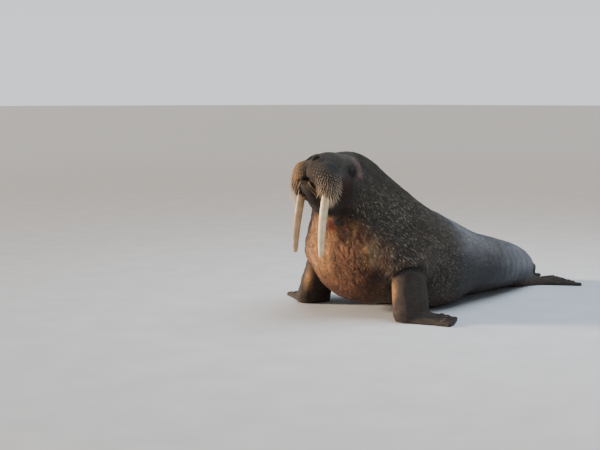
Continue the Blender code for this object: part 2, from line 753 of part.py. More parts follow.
def swept(centres, sides, rings):
    """Points and faces of closed rings joined along a path, with flat ends. Rings are (n, 3) offsets."""
    points = np.concatenate([np.asarray(centre) + ring for centre, ring in zip(centres, rings)])
    faces = [tuple(range(sides))[::-1]]
    for i in range(len(centres) - 1):
        for j in range(sides):
            k = (j + 1) % sides
            faces.append((i * sides + j, i * sides + k, (i + 1) * sides + k, (i + 1) * sides + j))
    last = (len(centres) - 1) * sides
    faces.append(tuple(last + j for j in range(sides)))
    return points, faces


def tusk_object(side_name, extra=0.0):
    """A long flattened ivory tusk, leaning back more and more towards its blunt tip."""
    side = 1.0 if side_name == "left" else -1.0
    length, splay = TUSK_LENGTHS[side_name], side * TUSK_SPLAY[side_name]
    shares = np.array([0.0, 0.10, 0.22, 0.34, 0.46, 0.58, 0.68, 0.77, 0.85, 0.91, 0.96, 0.985, 1.0])
    angles = TUSK_BACK[0] + (TUSK_BACK[1] - TUSK_BACK[0]) * shares
    turn = np.linspace(0.0, 2 * math.pi, TUSK_SIDES, endpoint=False)
    at = np.array((TUSK_ROOT[0], side * TUSK_ROOT[1], TUSK_ROOT[2]))
    centres, rings = [], []
    for i, share in enumerate(shares):
        if i:
            middle = 0.5 * (angles[i] + angles[i - 1])
            step = (share - shares[i - 1]) * length
            at = at + step * np.array((-math.sin(middle), splay, -math.cos(middle)))
        size = np.interp(share, *zip(*TUSK_TAPER))
        aft = np.array((-math.cos(angles[i]), 0.0, math.sin(angles[i])))
        depth = TUSK_HALF_DEPTH * size + extra
        width = TUSK_HALF_WIDTH * size + extra
        end = extra * (1 if i == len(shares) - 1 else -1 if i == 0 else 0)
        here = at + end * np.array((-math.sin(angles[i]), 0.0, -math.cos(angles[i])))
        rings.append(
            depth * np.cos(turn)[:, None] * aft + width * np.sin(turn)[:, None] * np.array((0.0, 1.0, 0.0))
        )
        centres.append(here)
    points, faces = swept(centres, TUSK_SIDES, rings)
    thing = mesh_object(f"tusk_{side_name}", [head_to_world(p) for p in points], faces)
    outward(thing)
    return thing


def eye_object(side_name, extra=0.0):
    side = 1.0 if side_name == "left" else -1.0
    work = bmesh.new()
    bmesh.ops.create_uvsphere(work, u_segments=14, v_segments=9, radius=EYE_RADIUS + extra)
    mesh = bpy.data.meshes.new(f"eye_{side_name}")
    work.to_mesh(mesh)
    work.free()
    thing = bpy.data.objects.new(f"eye_{side_name}", mesh)
    bpy.context.collection.objects.link(thing)
    at = head_to_world((EYE_AT[0], side * EYE_AT[1], EYE_AT[2]))
    mesh.transform(Matrix.Translation(at))
    return thing


def world_to_head(at):
    c, s = math.cos(HEAD_YAW), math.sin(HEAD_YAW)
    x, y = c * at[0] + s * at[1] - HEAD_AT[0], c * at[1] - s * at[0]
    z = at[2] - HEAD_AT[2]
    c, s = math.cos(HEAD_PITCH), math.sin(HEAD_PITCH)
    return Vector((c * x + s * z, y, c * z - s * x))


def spine_object(centres, radii, sides, roll):
    """A thin closed spine that ends in a point, through the centres."""
    centres = [Vector(c) for c in centres]
    across = (centres[1] - centres[0]).orthogonal()
    points = []
    for i, radius in enumerate(radii):
        ahead = (centres[i + 1] - centres[max(i - 1, 0)]).normalized()
        across = (across - across.dot(ahead) * ahead).normalized()
        for j in range(sides):
            turn = Matrix.Rotation(roll + 2 * math.pi * j / sides, 3, ahead)
            points.append(centres[i] + radius * (turn @ across))
    points.append(centres[-1])
    tip = len(points) - 1
    faces = [tuple(range(sides))[::-1]]
    for i in range(len(radii)):
        for j in range(sides):
            a, b = i * sides + j, i * sides + (j + 1) % sides
            above = (tip,) if i == len(radii) - 1 else (b + sides, a + sides)
            faces.append((a, b, *above))
    thing = mesh_object("spine", points, faces)
    outward(thing)
    return thing


def fused(thing, spines):
    """Joins all the spines to the mesh with one Boolean."""
    group = bpy.data.collections.new("spines")
    for spine in spines:
        for home in list(spine.users_collection):
            home.objects.unlink(spine)
        group.objects.link(spine)
    modifier = thing.modifiers.new("fuse", "BOOLEAN")
    modifier.operation = "UNION"
    modifier.solver = "MANIFOLD"
    modifier.operand_type = "COLLECTION"
    modifier.collection = group
    apply_modifiers(thing)
    for spine in spines:
        remove(spine)
    bpy.data.collections.remove(group)


def tree_of(thing):
    work = bmesh.new()
    work.from_mesh(thing.data)
    tree = BVHTree.FromBMesh(work)
    work.free()
    return tree


def whiskers(muzzle, others):
    """Whiskers rooted all over both pads, hanging more the lower they stand, clear of the other nodes."""
    chance = random.Random(7)
    tree = tree_of(muzzle)
    walls = [tree_of(other) for other in others]
    spines = []
    for side in (1.0, -1.0):
        origin = (WHISKER_ORIGIN[0], side * WHISKER_ORIGIN[1], WHISKER_ORIGIN[2])
        for row, up in enumerate(WHISKER_ROWS):
            share = row / (len(WHISKER_ROWS) - 1)
            for i in range(WHISKERS_IN_ROW):
                along = (i + 0.5 * (row % 2) + chance.uniform(-0.15, 0.15)) / (WHISKERS_IN_ROW - 0.5)
                round_by = math.radians(WHISKER_ROUND[0] + along * (WHISKER_ROUND[1] - WHISKER_ROUND[0]))
                rise = math.radians(up + chance.uniform(-2.0, 2.0))
                aim = (
                    math.cos(rise) * math.cos(round_by),
                    side * math.cos(rise) * math.sin(round_by),
                    math.sin(rise),
                )
                inward = -head_direction(aim)
                root, normal, _, _ = tree.ray_cast(head_to_world(origin) - 0.40 * inward, inward)
                if root is None or world_to_head(root)[0] < MOUTH_PLANE + 0.015:
                    continue
                side_of = Vector(head_direction((0.0, side, 0.0)))
                hang = 0.45 + 0.55 * share
                ahead = (normal + hang * Vector((0, 0, -1)) + 0.15 * side_of).normalized()
                length = WHISKER_LENGTHS[0] + share * (WHISKER_LENGTHS[1] - WHISKER_LENGTHS[0])
                length *= (0.72 + 0.28 * math.sin(math.pi * min(along, 1.0))) * chance.uniform(0.85, 1.12)
                drop = Vector((0, 0, -0.30 * length))
                centres = [root - WHISKER_SUNK * normal]
                centres += [root + (t * length) * ahead + (t * t) * drop for t in (0.06, 0.5, 1.0)]
                spans = [centres[k].lerp(centres[k + 1], t) for k in (1, 2) for t in (0.0, 0.25, 0.5, 0.75, 1.0)]
                checked = spans + [centres[0], root]
                near = min(wall.find_nearest(point)[3] for wall in walls for point in checked)
                back = any(tree.find_nearest(point)[3] < 0.004 for point in spans[4:])
                back = back or any(
                    tree.ray_cast(centres[k], centres[k + 1] - centres[k], (centres[k + 1] - centres[k]).length)[0]
                    for k in (1, 2)
                )
                if near < 0.005 or back:
                    continue
                spines.append(spine_object(centres, WHISKER_RADII, 3, chance.uniform(0.0, 2.0)))
    return spines


def claws(flipper, side, heading_angle, floor, digits, sizes):
    """A claw on the upper face of each digit, a little behind its tip."""
    tree = tree_of(flipper)
    across = heading(heading_angle - math.pi / 2)
    ahead = heading(heading_angle)
    found = []
    for (spread, sideways, reach), (length, radius) in zip(digits, sizes):
        way = heading(heading_angle - math.radians(spread))
        root = floor + sideways * across + 0.035 * ahead
        at = root + (reach - CLAW_BACK) * way
        start = Vector((at[0], side * at[1], 0.5))
        hit, normal, _, _ = tree.ray_cast(start, Vector((0, 0, -1)))
        if hit is None:
            continue
        way = Vector((way[0], side * way[1], 0.0))
        first = hit - CLAW_SUNK * normal - 0.010 * way
        middle = hit + 0.30 * length * way + 0.55 * radius * normal
        end = hit + length * way + 0.10 * radius * normal
        found.append(spine_object((first, middle, end), (radius, 0.80 * radius), CLAW_SIDES, 0.3))
    return found


def ear_object(head, side):
    at = head_to_world((EAR_AT[0], side * 0.6, EAR_AT[1]))
    inward = head_direction((0.0, -side, 0.0))
    hit = tree_of(head).ray_cast(at, inward)[0]
    work = bmesh.new()
    bmesh.ops.create_icosphere(work, subdivisions=2, radius=1.0)
    for vertex in work.verts:
        forward, left, up = (v * r for v, r in zip(vertex.co, EAR_RADII))
        vertex.co = hit + head_direction((forward, left, up))
    mesh = bpy.data.meshes.new("ear")
    work.to_mesh(mesh)
    work.free()
    thing = bpy.data.objects.new("ear", mesh)
    bpy.context.collection.objects.link(thing)
    outward(thing)
    return thing


def finished(thing):
    """Gives the object its own material and smooth shading, with crisp edges where nodes are parted."""
    colour, roughness = next(FINISHES[key] for key in FINISHES if thing.name.startswith(key))
    material = bpy.data.materials.new(thing.name + " finish")
    material.use_nodes = True
    shader = material.node_tree.nodes["Principled BSDF"]
    shader.inputs["Base Color"].default_value = (*colour, 1.0)
    shader.inputs["Roughness"].default_value = roughness
    shader.inputs["Metallic"].default_value = 0.0
    mesh = thing.data
    mesh.materials.clear()
    mesh.materials.append(material)
    mesh.polygons.foreach_set("material_index", [0] * len(mesh.polygons))
    mesh.shade_smooth()
    mesh.set_sharp_from_angle(angle=SHARP_FROM)


def build():
    axes = axes_of((-2.90, -1.15, -0.08), (0.95, 1.15, 1.50), 0.20, 0.25, 0.95, 0.016, 0.010)
    whole = mesh_object("whole", *skin(walrus_field, axes))
    mended(whole)
    decimated(whole, TRUNK_TRIANGLES)
    mended(whole)
    cut_off(whole, Vector((0, 0, 0)), Vector((0, 0, -1)))
    keep_largest(whole)

    forward = head_direction((1.0, 0.0, 0.0))
    mouth = head_to_world((MOUTH_PLANE, 0.0, 0.0))
    nodes = {}
    for side_name, side in (("left", 1.0), ("right", -1.0)):
        arm = taken_out(
            whole,
            f"forearm_{side_name}",
            lambda margin: upright_box(*FOREARM_BOX, side, margin),
        )
        nodes[f"fore_flipper_{side_name}"] = parted(
            arm, f"fore_flipper_{side_name}", (0, 0, FLIPPER_TOP), (0, 0, -1)
        )
        nodes[f"forearm_{side_name}"] = arm
        nodes[f"hind_flipper_{side_name}"] = taken_out(
            whole, f"hind_flipper_{side_name}", lambda margin: hind_box(side, margin)
        )
    muzzle_part = parted(whole, "muzzle part", mouth, forward)
    remove(muzzle_part)
    rest = whole
    for name, (x, z), angle in TRUNK_CUTS:
        tilt = math.radians(angle)
        normal = Vector((math.cos(tilt), 0.0, math.sin(tilt)))
        nodes[name] = parted(rest, name, (x, 0.0, z), normal)
    nodes["tail"] = rest
    rest.name = "tail"

    low, high = (0.30, -0.40, 0.75), (0.95, 0.50, 1.50)
    muzzle_axes = axes_of(low, high, 0.30, 0.50, 0.70, 0.012, 0.0085)
    muzzle = mesh_object("muzzle", *skin(muzzle_field, muzzle_axes))
    jaw = mesh_object("lower_jaw", *skin(jaw_field, muzzle_axes))
    for thing, triangles in ((muzzle, MUZZLE_TRIANGLES), (jaw, JAW_TRIANGLES)):
        cut_off(thing, mouth + 0.5 * GAP * forward, -forward)
        keep_largest(thing)
        mended(thing)
        decimated(thing, triangles)
        mended(thing)
    boolean(muzzle, grown(jaw, GAP), "DIFFERENCE")
    for side_name in ("left", "right"):
        for thing in (muzzle, jaw, nodes["head"]):
            boolean(thing, tusk_object(side_name, GAP), "DIFFERENCE")
        boolean(nodes["head"], eye_object(side_name, GAP), "DIFFERENCE")
        nodes[f"tusk_{side_name}"] = tusk_object(side_name)
        nodes[f"eye_{side_name}"] = eye_object(side_name)
    nodes["muzzle"], nodes["lower_jaw"] = muzzle, jaw
    for side in (1.0, -1.0):
        boolean(nodes["head"], ear_object(nodes["head"], side), "DIFFERENCE")
    others = [jaw, nodes["tusk_left"], nodes["tusk_right"], nodes["head"]]
    fused(muzzle, whiskers(muzzle, others))
    wrist = np.array((WRIST[0], WRIST[1], 0.010))
    ankle = np.array((ANKLE[0], ANKLE[1], 0.012))
    for side_name, side in (("left", 1.0), ("right", -1.0)):
        hand, foot = nodes[f"fore_flipper_{side_name}"], nodes[f"hind_flipper_{side_name}"]
        fused(hand, claws(hand, side, FORE_HEADING, wrist, HAND_DIGITS, [FORE_CLAW] * 5))
        fused(foot, claws(foot, side, HIND_HEADING, ankle, FOOT_DIGITS, HIND_CLAWS))

    for thing in nodes.values():
        keep_largest(thing)
    for name, thing in nodes.items():
        thing.name = name
    return nodes


def main():
    for thing in list(bpy.data.objects):
        bpy.data.objects.remove(thing)
    nodes = build()
    corners = np.array([v.co for thing in nodes.values() for v in thing.data.vertices])
    low, high = corners.min(axis=0), corners.max(axis=0)
    shift = Matrix.Translation((-(low[0] + high[0]) / 2, -(low[1] + high[1]) / 2, 0.0))
    for name, thing in nodes.items():
        thing.data.transform(shift)
        finished(thing)
        print(name, len(thing.data.polygons))


if __name__ == "__main__":
    main()
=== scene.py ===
import math

import bpy
import numpy as np
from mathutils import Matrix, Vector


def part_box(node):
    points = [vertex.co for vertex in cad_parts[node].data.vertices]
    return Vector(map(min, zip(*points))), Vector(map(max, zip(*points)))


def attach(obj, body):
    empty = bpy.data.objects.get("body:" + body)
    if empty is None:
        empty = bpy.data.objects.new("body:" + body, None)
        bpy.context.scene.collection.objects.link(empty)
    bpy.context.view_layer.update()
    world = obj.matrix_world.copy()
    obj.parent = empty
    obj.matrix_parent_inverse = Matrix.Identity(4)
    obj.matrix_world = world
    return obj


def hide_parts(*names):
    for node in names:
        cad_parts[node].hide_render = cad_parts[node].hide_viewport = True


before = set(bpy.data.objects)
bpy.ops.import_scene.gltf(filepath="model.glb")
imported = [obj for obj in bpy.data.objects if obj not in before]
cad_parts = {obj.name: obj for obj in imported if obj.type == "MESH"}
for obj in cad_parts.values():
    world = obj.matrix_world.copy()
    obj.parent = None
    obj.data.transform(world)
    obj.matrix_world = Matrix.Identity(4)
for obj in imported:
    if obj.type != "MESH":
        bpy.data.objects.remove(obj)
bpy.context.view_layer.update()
print("solids loaded")

# Plain helpers


def linearColour(hexColour):  # sRGB hex to linear red, green, blue, 1
    parts = [int(hexColour[i:i + 2], 16) / 255 for i in (0, 2, 4)]
    return tuple(p / 12.92 if p <= 0.04045 else ((p + 0.055) / 1.055) ** 2.4 for p in parts) + (1.0,)


def rgb(hexColour):
    return np.array(linearColour(hexColour)[:3])


def addNode(tree, kind, inputs=None, **settings):  # values, or sockets to link, by socket name or number
    made = tree.nodes.new("ShaderNode" + kind)
    for name, value in settings.items():
        setattr(made, name, value)
    for name, value in (inputs or {}).items():
        if isinstance(value, bpy.types.NodeSocket):
            tree.links.new(value, made.inputs[name])
        else:
            made.inputs[name].default_value = value
    return made


def newMaterial(name):  # an empty material with its shader and output
    material = bpy.data.materials.new(name)
    material.use_nodes = True
    return material, material.node_tree, material.node_tree.nodes["Principled BSDF"]


def rampStops(node, stops):  # places and colours of a colour ramp
    ramp = node.color_ramp
    while len(ramp.elements) < len(stops):
        ramp.elements.new(0.5)
    for element, (place, colour) in zip(ramp.elements, stops):
        element.position = place
        element.color = colour if len(colour) == 4 else (*colour, 1.0)
    return node


def smoothStep(low, high, values):
    t = np.clip((values - low) / (high - low), 0.0, 1.0)
    return t * t * (3 - 2 * t)


def unit(vectors):
    return vectors / np.maximum(np.linalg.norm(vectors, axis=1), 1e-9)[:, None]


cloudTable = np.random.default_rng(11).random((32, 32, 32))


def cloud(points, size, seed=0):
    # value noise from -1 to 1: random heights on a cubic lattice, blended smoothly in between
    at = np.asarray(points) / size + np.array((3.1, 7.7, 5.3)) * (seed + 1)
    base = np.floor(at).astype(int)
    t = at - base
    t = t * t * (3 - 2 * t)
    total = 0.0
    for i in (0, 1):
        for j in (0, 1):
            for k in (0, 1):
                share = (
                    np.where(i, t[:, 0], 1 - t[:, 0])
                    * np.where(j, t[:, 1], 1 - t[:, 1])
                    * np.where(k, t[:, 2], 1 - t[:, 2])
                )
                total = total + share * cloudTable[(base[:, 0] + i) % 32, (base[:, 1] + j) % 32, (base[:, 2] + k) % 32]
    return 2.0 * total - 1.0


def roughCloud(points, size, seed=0):  # three clouds, each half as big and half as strong
    return (cloud(points, size, seed) + 0.5 * cloud(points, size / 2, seed + 1)
            + 0.25 * cloud(points, size / 4, seed + 2)) / 1.75


def meshObject(name, points, faces, material, smooth=True):
    # faces is one array, or a list of arrays, of corner indices; each array's rows have one length
    faces = faces if isinstance(faces, list) else [faces]
    mesh = bpy.data.meshes.new(name)
    mesh.vertices.add(len(points))
    mesh.vertices.foreach_set("co", np.asarray(points, np.float32).ravel())
    sizes = np.concatenate([np.full(len(f), f.shape[1]) for f in faces])
    mesh.loops.add(int(sizes.sum()))
    mesh.polygons.add(len(sizes))
    mesh.loops.foreach_set("vertex_index", np.concatenate([f.ravel() for f in faces]).astype(np.int32))
    mesh.polygons.foreach_set("loop_start", (np.cumsum(sizes) - sizes).astype(np.int32))
    mesh.update(calc_edges=True)
    mesh.validate()
    mesh.polygons.foreach_set("use_smooth", np.full(len(mesh.polygons), smooth))
    mesh.materials.append(material)
    thing = bpy.data.objects.new(name, mesh)
    bpy.context.scene.collection.objects.link(thing)
    return thing


def paint(thing, name, colours):  # a colour for each point, kept as an attribute
    attribute = thing.data.attributes.new(name, "FLOAT_COLOR", "POINT")
    colours = np.column_stack((colours, np.ones(len(colours))))
    attribute.data.foreach_set("color", colours.astype(np.float32).ravel())


# The walrus's body as one distance field, below zero inside

pose = {
    "headAt": (0.42, 0.0, 1.16),
    "headPitch": math.radians(22.0),    # nose raised
    "headYaw": math.radians(9.0),       # turned a little to its left
    "yawRamp": (0.35, 0.95),            # where along the neck the turn starts and ends
    "wrist": (0.000, 0.585, 0.050),
    "foreHeading": math.radians(122.0),
    "hindHeading": math.radians(156.0),
    "ankle": (-2.17, 0.140, 0.060),
}
trunk = {  # x, z, half height above, half height below, half width
    "tailRoot": (-2.32, 0.135, 0.070, 0.090, 0.085),
    "rump": (-2.20, 0.160, 0.135, 0.160, 0.165),
    "hips": (-2.00, 0.195, 0.205, 0.210, 0.262),
    "loin": (-1.65, 0.235, 0.262, 0.250, 0.372),
    "belly": (-1.30, 0.285, 0.300, 0.300, 0.450),
    "ribs": (-0.95, 0.345, 0.372, 0.362, 0.510),
    "withers": (-0.62, 0.440, 0.405, 0.460, 0.545),
    "shoulder": (-0.33, 0.585, 0.388, 0.545, 0.545),
    "neckBase": (-0.08, 0.765, 0.372, 0.545, 0.500),
    "neck": (0.10, 0.930, 0.355, 0.425, 0.385),
    "nape": (0.25, 1.075, 0.322, 0.320, 0.255),
    "skull": (0.37, 1.150, 0.220, 0.250, 0.160),
    "snout": (0.50, 1.195, 0.165, 0.180, 0.135),
    "nose": (0.59, 1.225, 0.110, 0.120, 0.100),
}
trunkSamples, tailCap, noseCap = 72, 0.10, 0.06
# The soft front of the muzzle hangs to the animal's right; each pair is where that starts and where it is full
sag = {"shift": 0.036, "forward": (0.060, 0.200), "top": (0.080, -0.020), "bottom": (-0.240, -0.150), "side": (0.260, 0.040)}
# Forms: centre, radii, pitch in degrees, blend. Those of the head are forward, left and up from its centre
headForms = {
    "bridge": ((0.100, 0.000, 0.060), (0.160, 0.085, 0.090), -18, 0.05),
    "brow": ((-0.060, 0.112, 0.108), (0.070, 0.042, 0.036), -18, 0.05),
    "cheek": ((-0.010, 0.115, -0.080), (0.120, 0.090, 0.120), 0, 0.07),
    "jowl": ((-0.060, 0.085, -0.190), (0.115, 0.096, 0.102), 0, 0.08),
}
muzzleForms = {
    "whiskerPad": ((0.172, 0.096, -0.047), (0.118, 0.110, 0.113), 0, 0.022),
    "innerPad": ((0.185, 0.045, -0.034), (0.098, 0.080, 0.100), 0, 0.03),
    "padLobe": ((0.135, 0.142, -0.125), (0.115, 0.072, 0.112), 0, 0.04),
    "mouthCorner": ((0.075, 0.110, -0.155), (0.060, 0.056, 0.080), 0, 0.04),
    "noseBlock": ((0.200, 0.000, 0.044), (0.076, 0.086, 0.064), 0, 0.03),
}
jawForms = {
    "chin": ((0.120, 0.000, -0.200), (0.115, 0.078, 0.078), 25, 0.05),
    "lowerLip": ((0.192, 0.000, -0.166), (0.060, 0.074, 0.060), 0, 0.03),
    "jawRoot": ((-0.020, 0.000, -0.200), (0.150, 0.110, 0.090), 0, 0.06),
}
bodyForms = {
    "breast": ((-0.010, 0.000, 0.430), (0.390, 0.430, 0.350), 20, 0.16),
    "shoulderMass": ((-0.140, 0.340, 0.560), (0.330, 0.250, 0.270), 15, 0.14),
    "flank": ((-0.520, 0.290, 0.270), (0.480, 0.240, 0.270), 8, 0.12),
}
sleeve = ((-0.040, 0.430, 0.500), (0.215, 0.165, 0.135), 0, 0.08)
nostril = ((0.265, 0.032, 0.067), (0.034, 0.017, 0.024), -30, 0.010)
# Ridges: points of a path, its radius and its blend; the first four follow the head, the others the body
earOpening = (-0.165, 0.190, 0.000)     # a walrus has no ear cup, only this small pit behind the eye
ridges = {
    "brow": (
        ((-0.045, 0.085, 0.170), (-0.090, 0.112, 0.166), (-0.108, 0.142, 0.140), (-0.120, 0.166, 0.095),
         (-0.112, 0.182, 0.045)), 0.020, 0.04,
    ),
    "outerLip": (
        ((0.244, 0.040, -0.134), (0.232, 0.066, -0.166), (0.205, 0.084, -0.200), (0.162, 0.092, -0.232)), 0.010, 0.006,
    ),
    "innerLip": (((0.240, 0.020, -0.156), (0.222, 0.046, -0.190), (0.184, 0.066, -0.228)), 0.010, 0.006),
    "mouth": (      # cut in between the lips
        ((0.228, 0.000, -0.104), (0.244, 0.036, -0.110), (0.243, 0.066, -0.132), (0.230, 0.087, -0.168),
         (0.200, 0.100, -0.205)), 0.010, 0.008,
    ),
    "throat": (
        ((0.405, 0.000, 0.772), (0.408, 0.070, 0.782), (0.380, 0.150, 0.810), (0.300, 0.225, 0.860)), 0.030, 0.05,
    ),
    "sleeveRoll": (
        ((0.110, 0.430, 0.340), (0.115, 0.500, 0.420), (0.070, 0.568, 0.468), (-0.048, 0.585, 0.450),
         (-0.160, 0.560, 0.395), (-0.225, 0.500, 0.330), (-0.230, 0.420, 0.300)), 0.036, 0.05,
    ),
    "sleeveCrease": (       # cut in under the roll
        ((0.142, 0.455, 0.335), (0.139, 0.488, 0.362), (0.126, 0.526, 0.394), (0.104, 0.562, 0.421), (0.060, 0.600, 0.436),
         (0.005, 0.614, 0.424), (-0.049, 0.625, 0.405), (-0.100, 0.623, 0.385), (-0.149, 0.606, 0.357), (-0.187, 0.573, 0.325)), 0.010, 0.010,
    ),
}
eyeMound = ((-0.056, 0.108, 0.066), (0.078, 0.052, 0.064), 0, 0.04)
eye = {"at": (-0.056, 0.150, 0.066), "radius": 0.030, "lidRing": 0.034, "lidSquash": 1.45, "lidThickness": 0.0090, "lidOut": 0.014}
# Digits from the first to the fifth: spread in degrees, distance of the root to the side, length
handDigits = ((16, 0.082, 0.296), (9, 0.045, 0.300), (1, 0.005, 0.290), (-8, -0.035, 0.272), (-18, -0.072, 0.245))
footDigits = ((27, 0.045, 0.430), (14, 0.024, 0.395), (0, 0.000, 0.375), (-14, -0.024, 0.390), (-27, -0.045, 0.425))


def smoothUnion(a, b, blend):  # the lower of two fields, with the corner between them rounded
    h = np.maximum(blend - np.abs(a - b), 0.0) / blend
    return np.minimum(a, b) - h * h * blend / 4


def oval(parts, radii):  # near enough the distance to an ellipsoid
    first = np.sqrt(sum((p / r) ** 2 for p, r in zip(parts, radii)))
    second = np.sqrt(sum((p / r ** 2) ** 2 for p, r in zip(parts, radii)))
    return first * (first - 1.0) / np.maximum(second, 1e-9)


def pitched(points, centre, pitch):  # forward, left and up from a centre, with the nose raised
    away = points - np.asarray(centre)
    c, s = math.cos(pitch), math.sin(pitch)
    return c * away[:, 0] + s * away[:, 2], away[:, 1], -s * away[:, 0] + c * away[:, 2]


def naturalSpline(values, samples):  # a natural cubic spline through values at 0, 1, 2 ...
    values = np.asarray(values, float)
    n = len(values)
    matrix, right = np.eye(n), np.zeros_like(values)
    for i in range(1, n - 1):
        matrix[i, i - 1:i + 2] = (1.0, 4.0, 1.0)
        right[i] = 6.0 * (values[i + 1] - 2.0 * values[i] + values[i - 1])
    bend = np.linalg.solve(matrix, right)
    i = np.minimum(samples.astype(int), n - 2)
    t = (samples - i)[:, None]
    u = 1.0 - t
    return u * values[i] + t * values[i + 1] + ((u ** 3 - u) * bend[i] + (t ** 3 - t) * bend[i + 1]) / 6.0


spine = naturalSpline(list(trunk.values()), np.linspace(0, len(trunk) - 1, trunkSamples + 1))


def trunkPlace(points):
    # nearest station of the spine: its values, the height above it, the overshoot past an end, and its share
    start, step = spine[:-1, :2], np.diff(spine[:, :2], axis=0)
    length = np.linalg.norm(step, axis=1)
    ahead = step / length[:, None]
    turn = np.vstack((ahead[:1], ahead[1:] + ahead[:-1], ahead[-1:]))
    turn /= np.linalg.norm(turn, axis=1)[:, None]
    found = []
    for first in range(0, len(points), 30000):
        flat = points[first:first + 30000][:, [0, 2]]
        away = flat[:, None] - start[None]
        along = (away * ahead).sum(axis=2)
        across = ahead[:, 0] * away[..., 1] - ahead[:, 1] * away[..., 0]
        over = along - np.clip(along, 0.0, length)
        near = np.argmin(over ** 2 + across ** 2, axis=1)
        behind = ((flat - start[near]) * turn[near]).sum(axis=1)
        before = ((spine[near + 1, :2] - flat) * turn[near + 1]).sum(axis=1)
        share = np.clip(behind / np.maximum(behind + before, 1e-6), 0.0, 1.0)
        station = spine[near] * (1.0 - share[:, None]) + spine[near + 1] * share[:, None]
        away = flat - station[:, :2]
        side = ahead[near, 0] * away[:, 1] - ahead[near, 1] * away[:, 0]
        over = np.where((near == 0) & (behind < 0), behind, 0.0)
        over = np.where((near == len(length) - 1) & (before < 0), -before, over)
        height = np.where(over == 0, np.copysign(np.hypot(away[:, 0], away[:, 1]), side), side)
        found.append(np.column_stack((station, height, over, (near + share) / len(length))))
    return np.vstack(found)


def trunkField(points):  # an oval carried along the spine
    place = trunkPlace(points)
    upOrDown = np.where(place[:, 5] > 0, place[:, 2], place[:, 3])
    cap = np.where(place[:, 6] < 0, tailCap, noseCap)
    return oval((points[:, 1], place[:, 5], place[:, 6]), (place[:, 4], upOrDown, cap))


def turned(points, way):  # the neck's turn, taken out with -1
    low, high = pose["yawRamp"]
    angle = way * pose["headYaw"] * smoothStep(low, high, 0.65 * points[:, 0] + 0.75 * points[:, 2])
    c, s = np.cos(angle), np.sin(angle)
    return np.column_stack((c * points[:, 0] - s * points[:, 1], s * points[:, 0] + c * points[:, 1], points[:, 2]))


def headFrame(still):  # points of the straight-headed animal, in the head's frame, with the muzzle's sag taken out
    forward, left, up = pitched(still, pose["headAt"], pose["headPitch"])
    share = smoothStep(*sag["forward"], forward) * smoothStep(*sag["side"], np.abs(left))
    share = share * smoothStep(*sag["top"], up) * smoothStep(*sag["bottom"], up)
    return np.column_stack((forward, left + sag["shift"] * share, up))


def addForm(field, points, form, cut=False):  # joins an ellipsoid to the field, or takes it out
    centre, radii, pitch, blend = form
    near = (np.abs(points - np.asarray(centre)) < max(radii) + 0.10).all(axis=1)
    shape = oval(pitched(points[near], centre, math.radians(pitch)), radii)
    field[near] = -smoothUnion(-field[near], shape, blend) if cut else smoothUnion(field[near], shape, blend)


def limbField(points, start, end, wide, startSize, endSize):  # a flattened, tapered, round-ended bar
    start, end = np.asarray(start, float), np.asarray(end, float)
    length = np.linalg.norm(end - start)
    forward = (end - start) / length
    wide = np.asarray(wide, float) - np.dot(wide, forward) * forward
    wide /= np.linalg.norm(wide)
    thin = np.cross(forward, wide)
    away = points - start
    along = away @ forward
    inside = np.clip(along, 0.0, length)
    share = inside / length
    halfWidth = startSize[0] + (endSize[0] - startSize[0]) * share
    halfThick = startSize[1] + (endSize[1] - startSize[1]) * share
    return oval((along - inside, away @ wide, away @ thin), (halfThick, halfWidth, halfThick))


def addRidge(field, points, ridge, cut=False):  # joins a round ridge along a path, or takes it out
    path, radius, blend = ridge
    path = np.array(path)
    low, high = path.min(axis=0) - radius - 0.08, path.max(axis=0) + radius + 0.08
    near = ((points > low) & (points < high)).all(axis=1)
    away = points[near][:, None] - path[None, :-1]
    step = np.diff(path, axis=0)
    share = np.clip((away * step).sum(axis=2) / (step ** 2).sum(axis=1), 0.0, 1.0)
    far = np.linalg.norm(away - share[..., None] * step, axis=2).min(axis=1)
    shape = far - radius
    field[near] = -smoothUnion(-field[near], shape, blend) if cut else smoothUnion(field[near], shape, blend)


def addLimb(field, points, blend, start, end, *shape):
    low, high = np.minimum(start, end) - 0.30, np.maximum(start, end) + 0.30
    near = ((points > low) & (points < high)).all(axis=1)
    field[near] = smoothUnion(field[near], limbField(points[near], start, end, *shape), blend)


def heading(angle):
    return np.array((math.cos(angle), math.sin(angle), 0.0))


def handBars():
    ahead, side = heading(pose["foreHeading"]), heading(pose["foreHeading"] - math.pi / 2)
    floor = np.array((pose["wrist"][0], pose["wrist"][1], 0.010))
    yield 0.05, floor, floor + 0.16 * ahead, side, (0.130, 0.075), (0.155, 0.040)
    web = floor + 0.06 * ahead
    yield 0.03, web, web + 0.282 * ahead, side, (0.140, 0.046), (0.178, 0.024)
    for spread, sideways, reach in handDigits:
        root = floor + sideways * side + 0.04 * ahead
        yield 0.02, root, root + reach * heading(pose["foreHeading"] - math.radians(spread)), side, (0.034, 0.052), (0.026, 0.027)


def footBars():
    ankle = np.array((pose["ankle"][0], pose["ankle"][1], 0.012))
    ahead, side = heading(pose["hindHeading"]), heading(pose["hindHeading"] - math.pi / 2)
    yield 0.06, np.array((-1.96, 0.115, 0.11)), ankle, side, (0.120, 0.110), (0.095, 0.078)
    yield 0.05, ankle, ankle + 0.16 * ahead, side, (0.095, 0.075), (0.125, 0.040)
    web = ankle + 0.10 * ahead
    yield 0.03, web, web + 0.305 * ahead, side, (0.100, 0.040), (0.214, 0.017)
    for spread, sideways, reach in footDigits:
        root = ankle + sideways * side + 0.03 * ahead
        yield 0.02, root, root + reach * heading(pose["hindHeading"] - math.radians(spread)), side, (0.030, 0.045), (0.026, 0.022)


limb = {"root": (-0.068, 0.470, 0.500), "shape": ((1, 0, 0), (0.155, 0.132), (0.178, 0.118))}


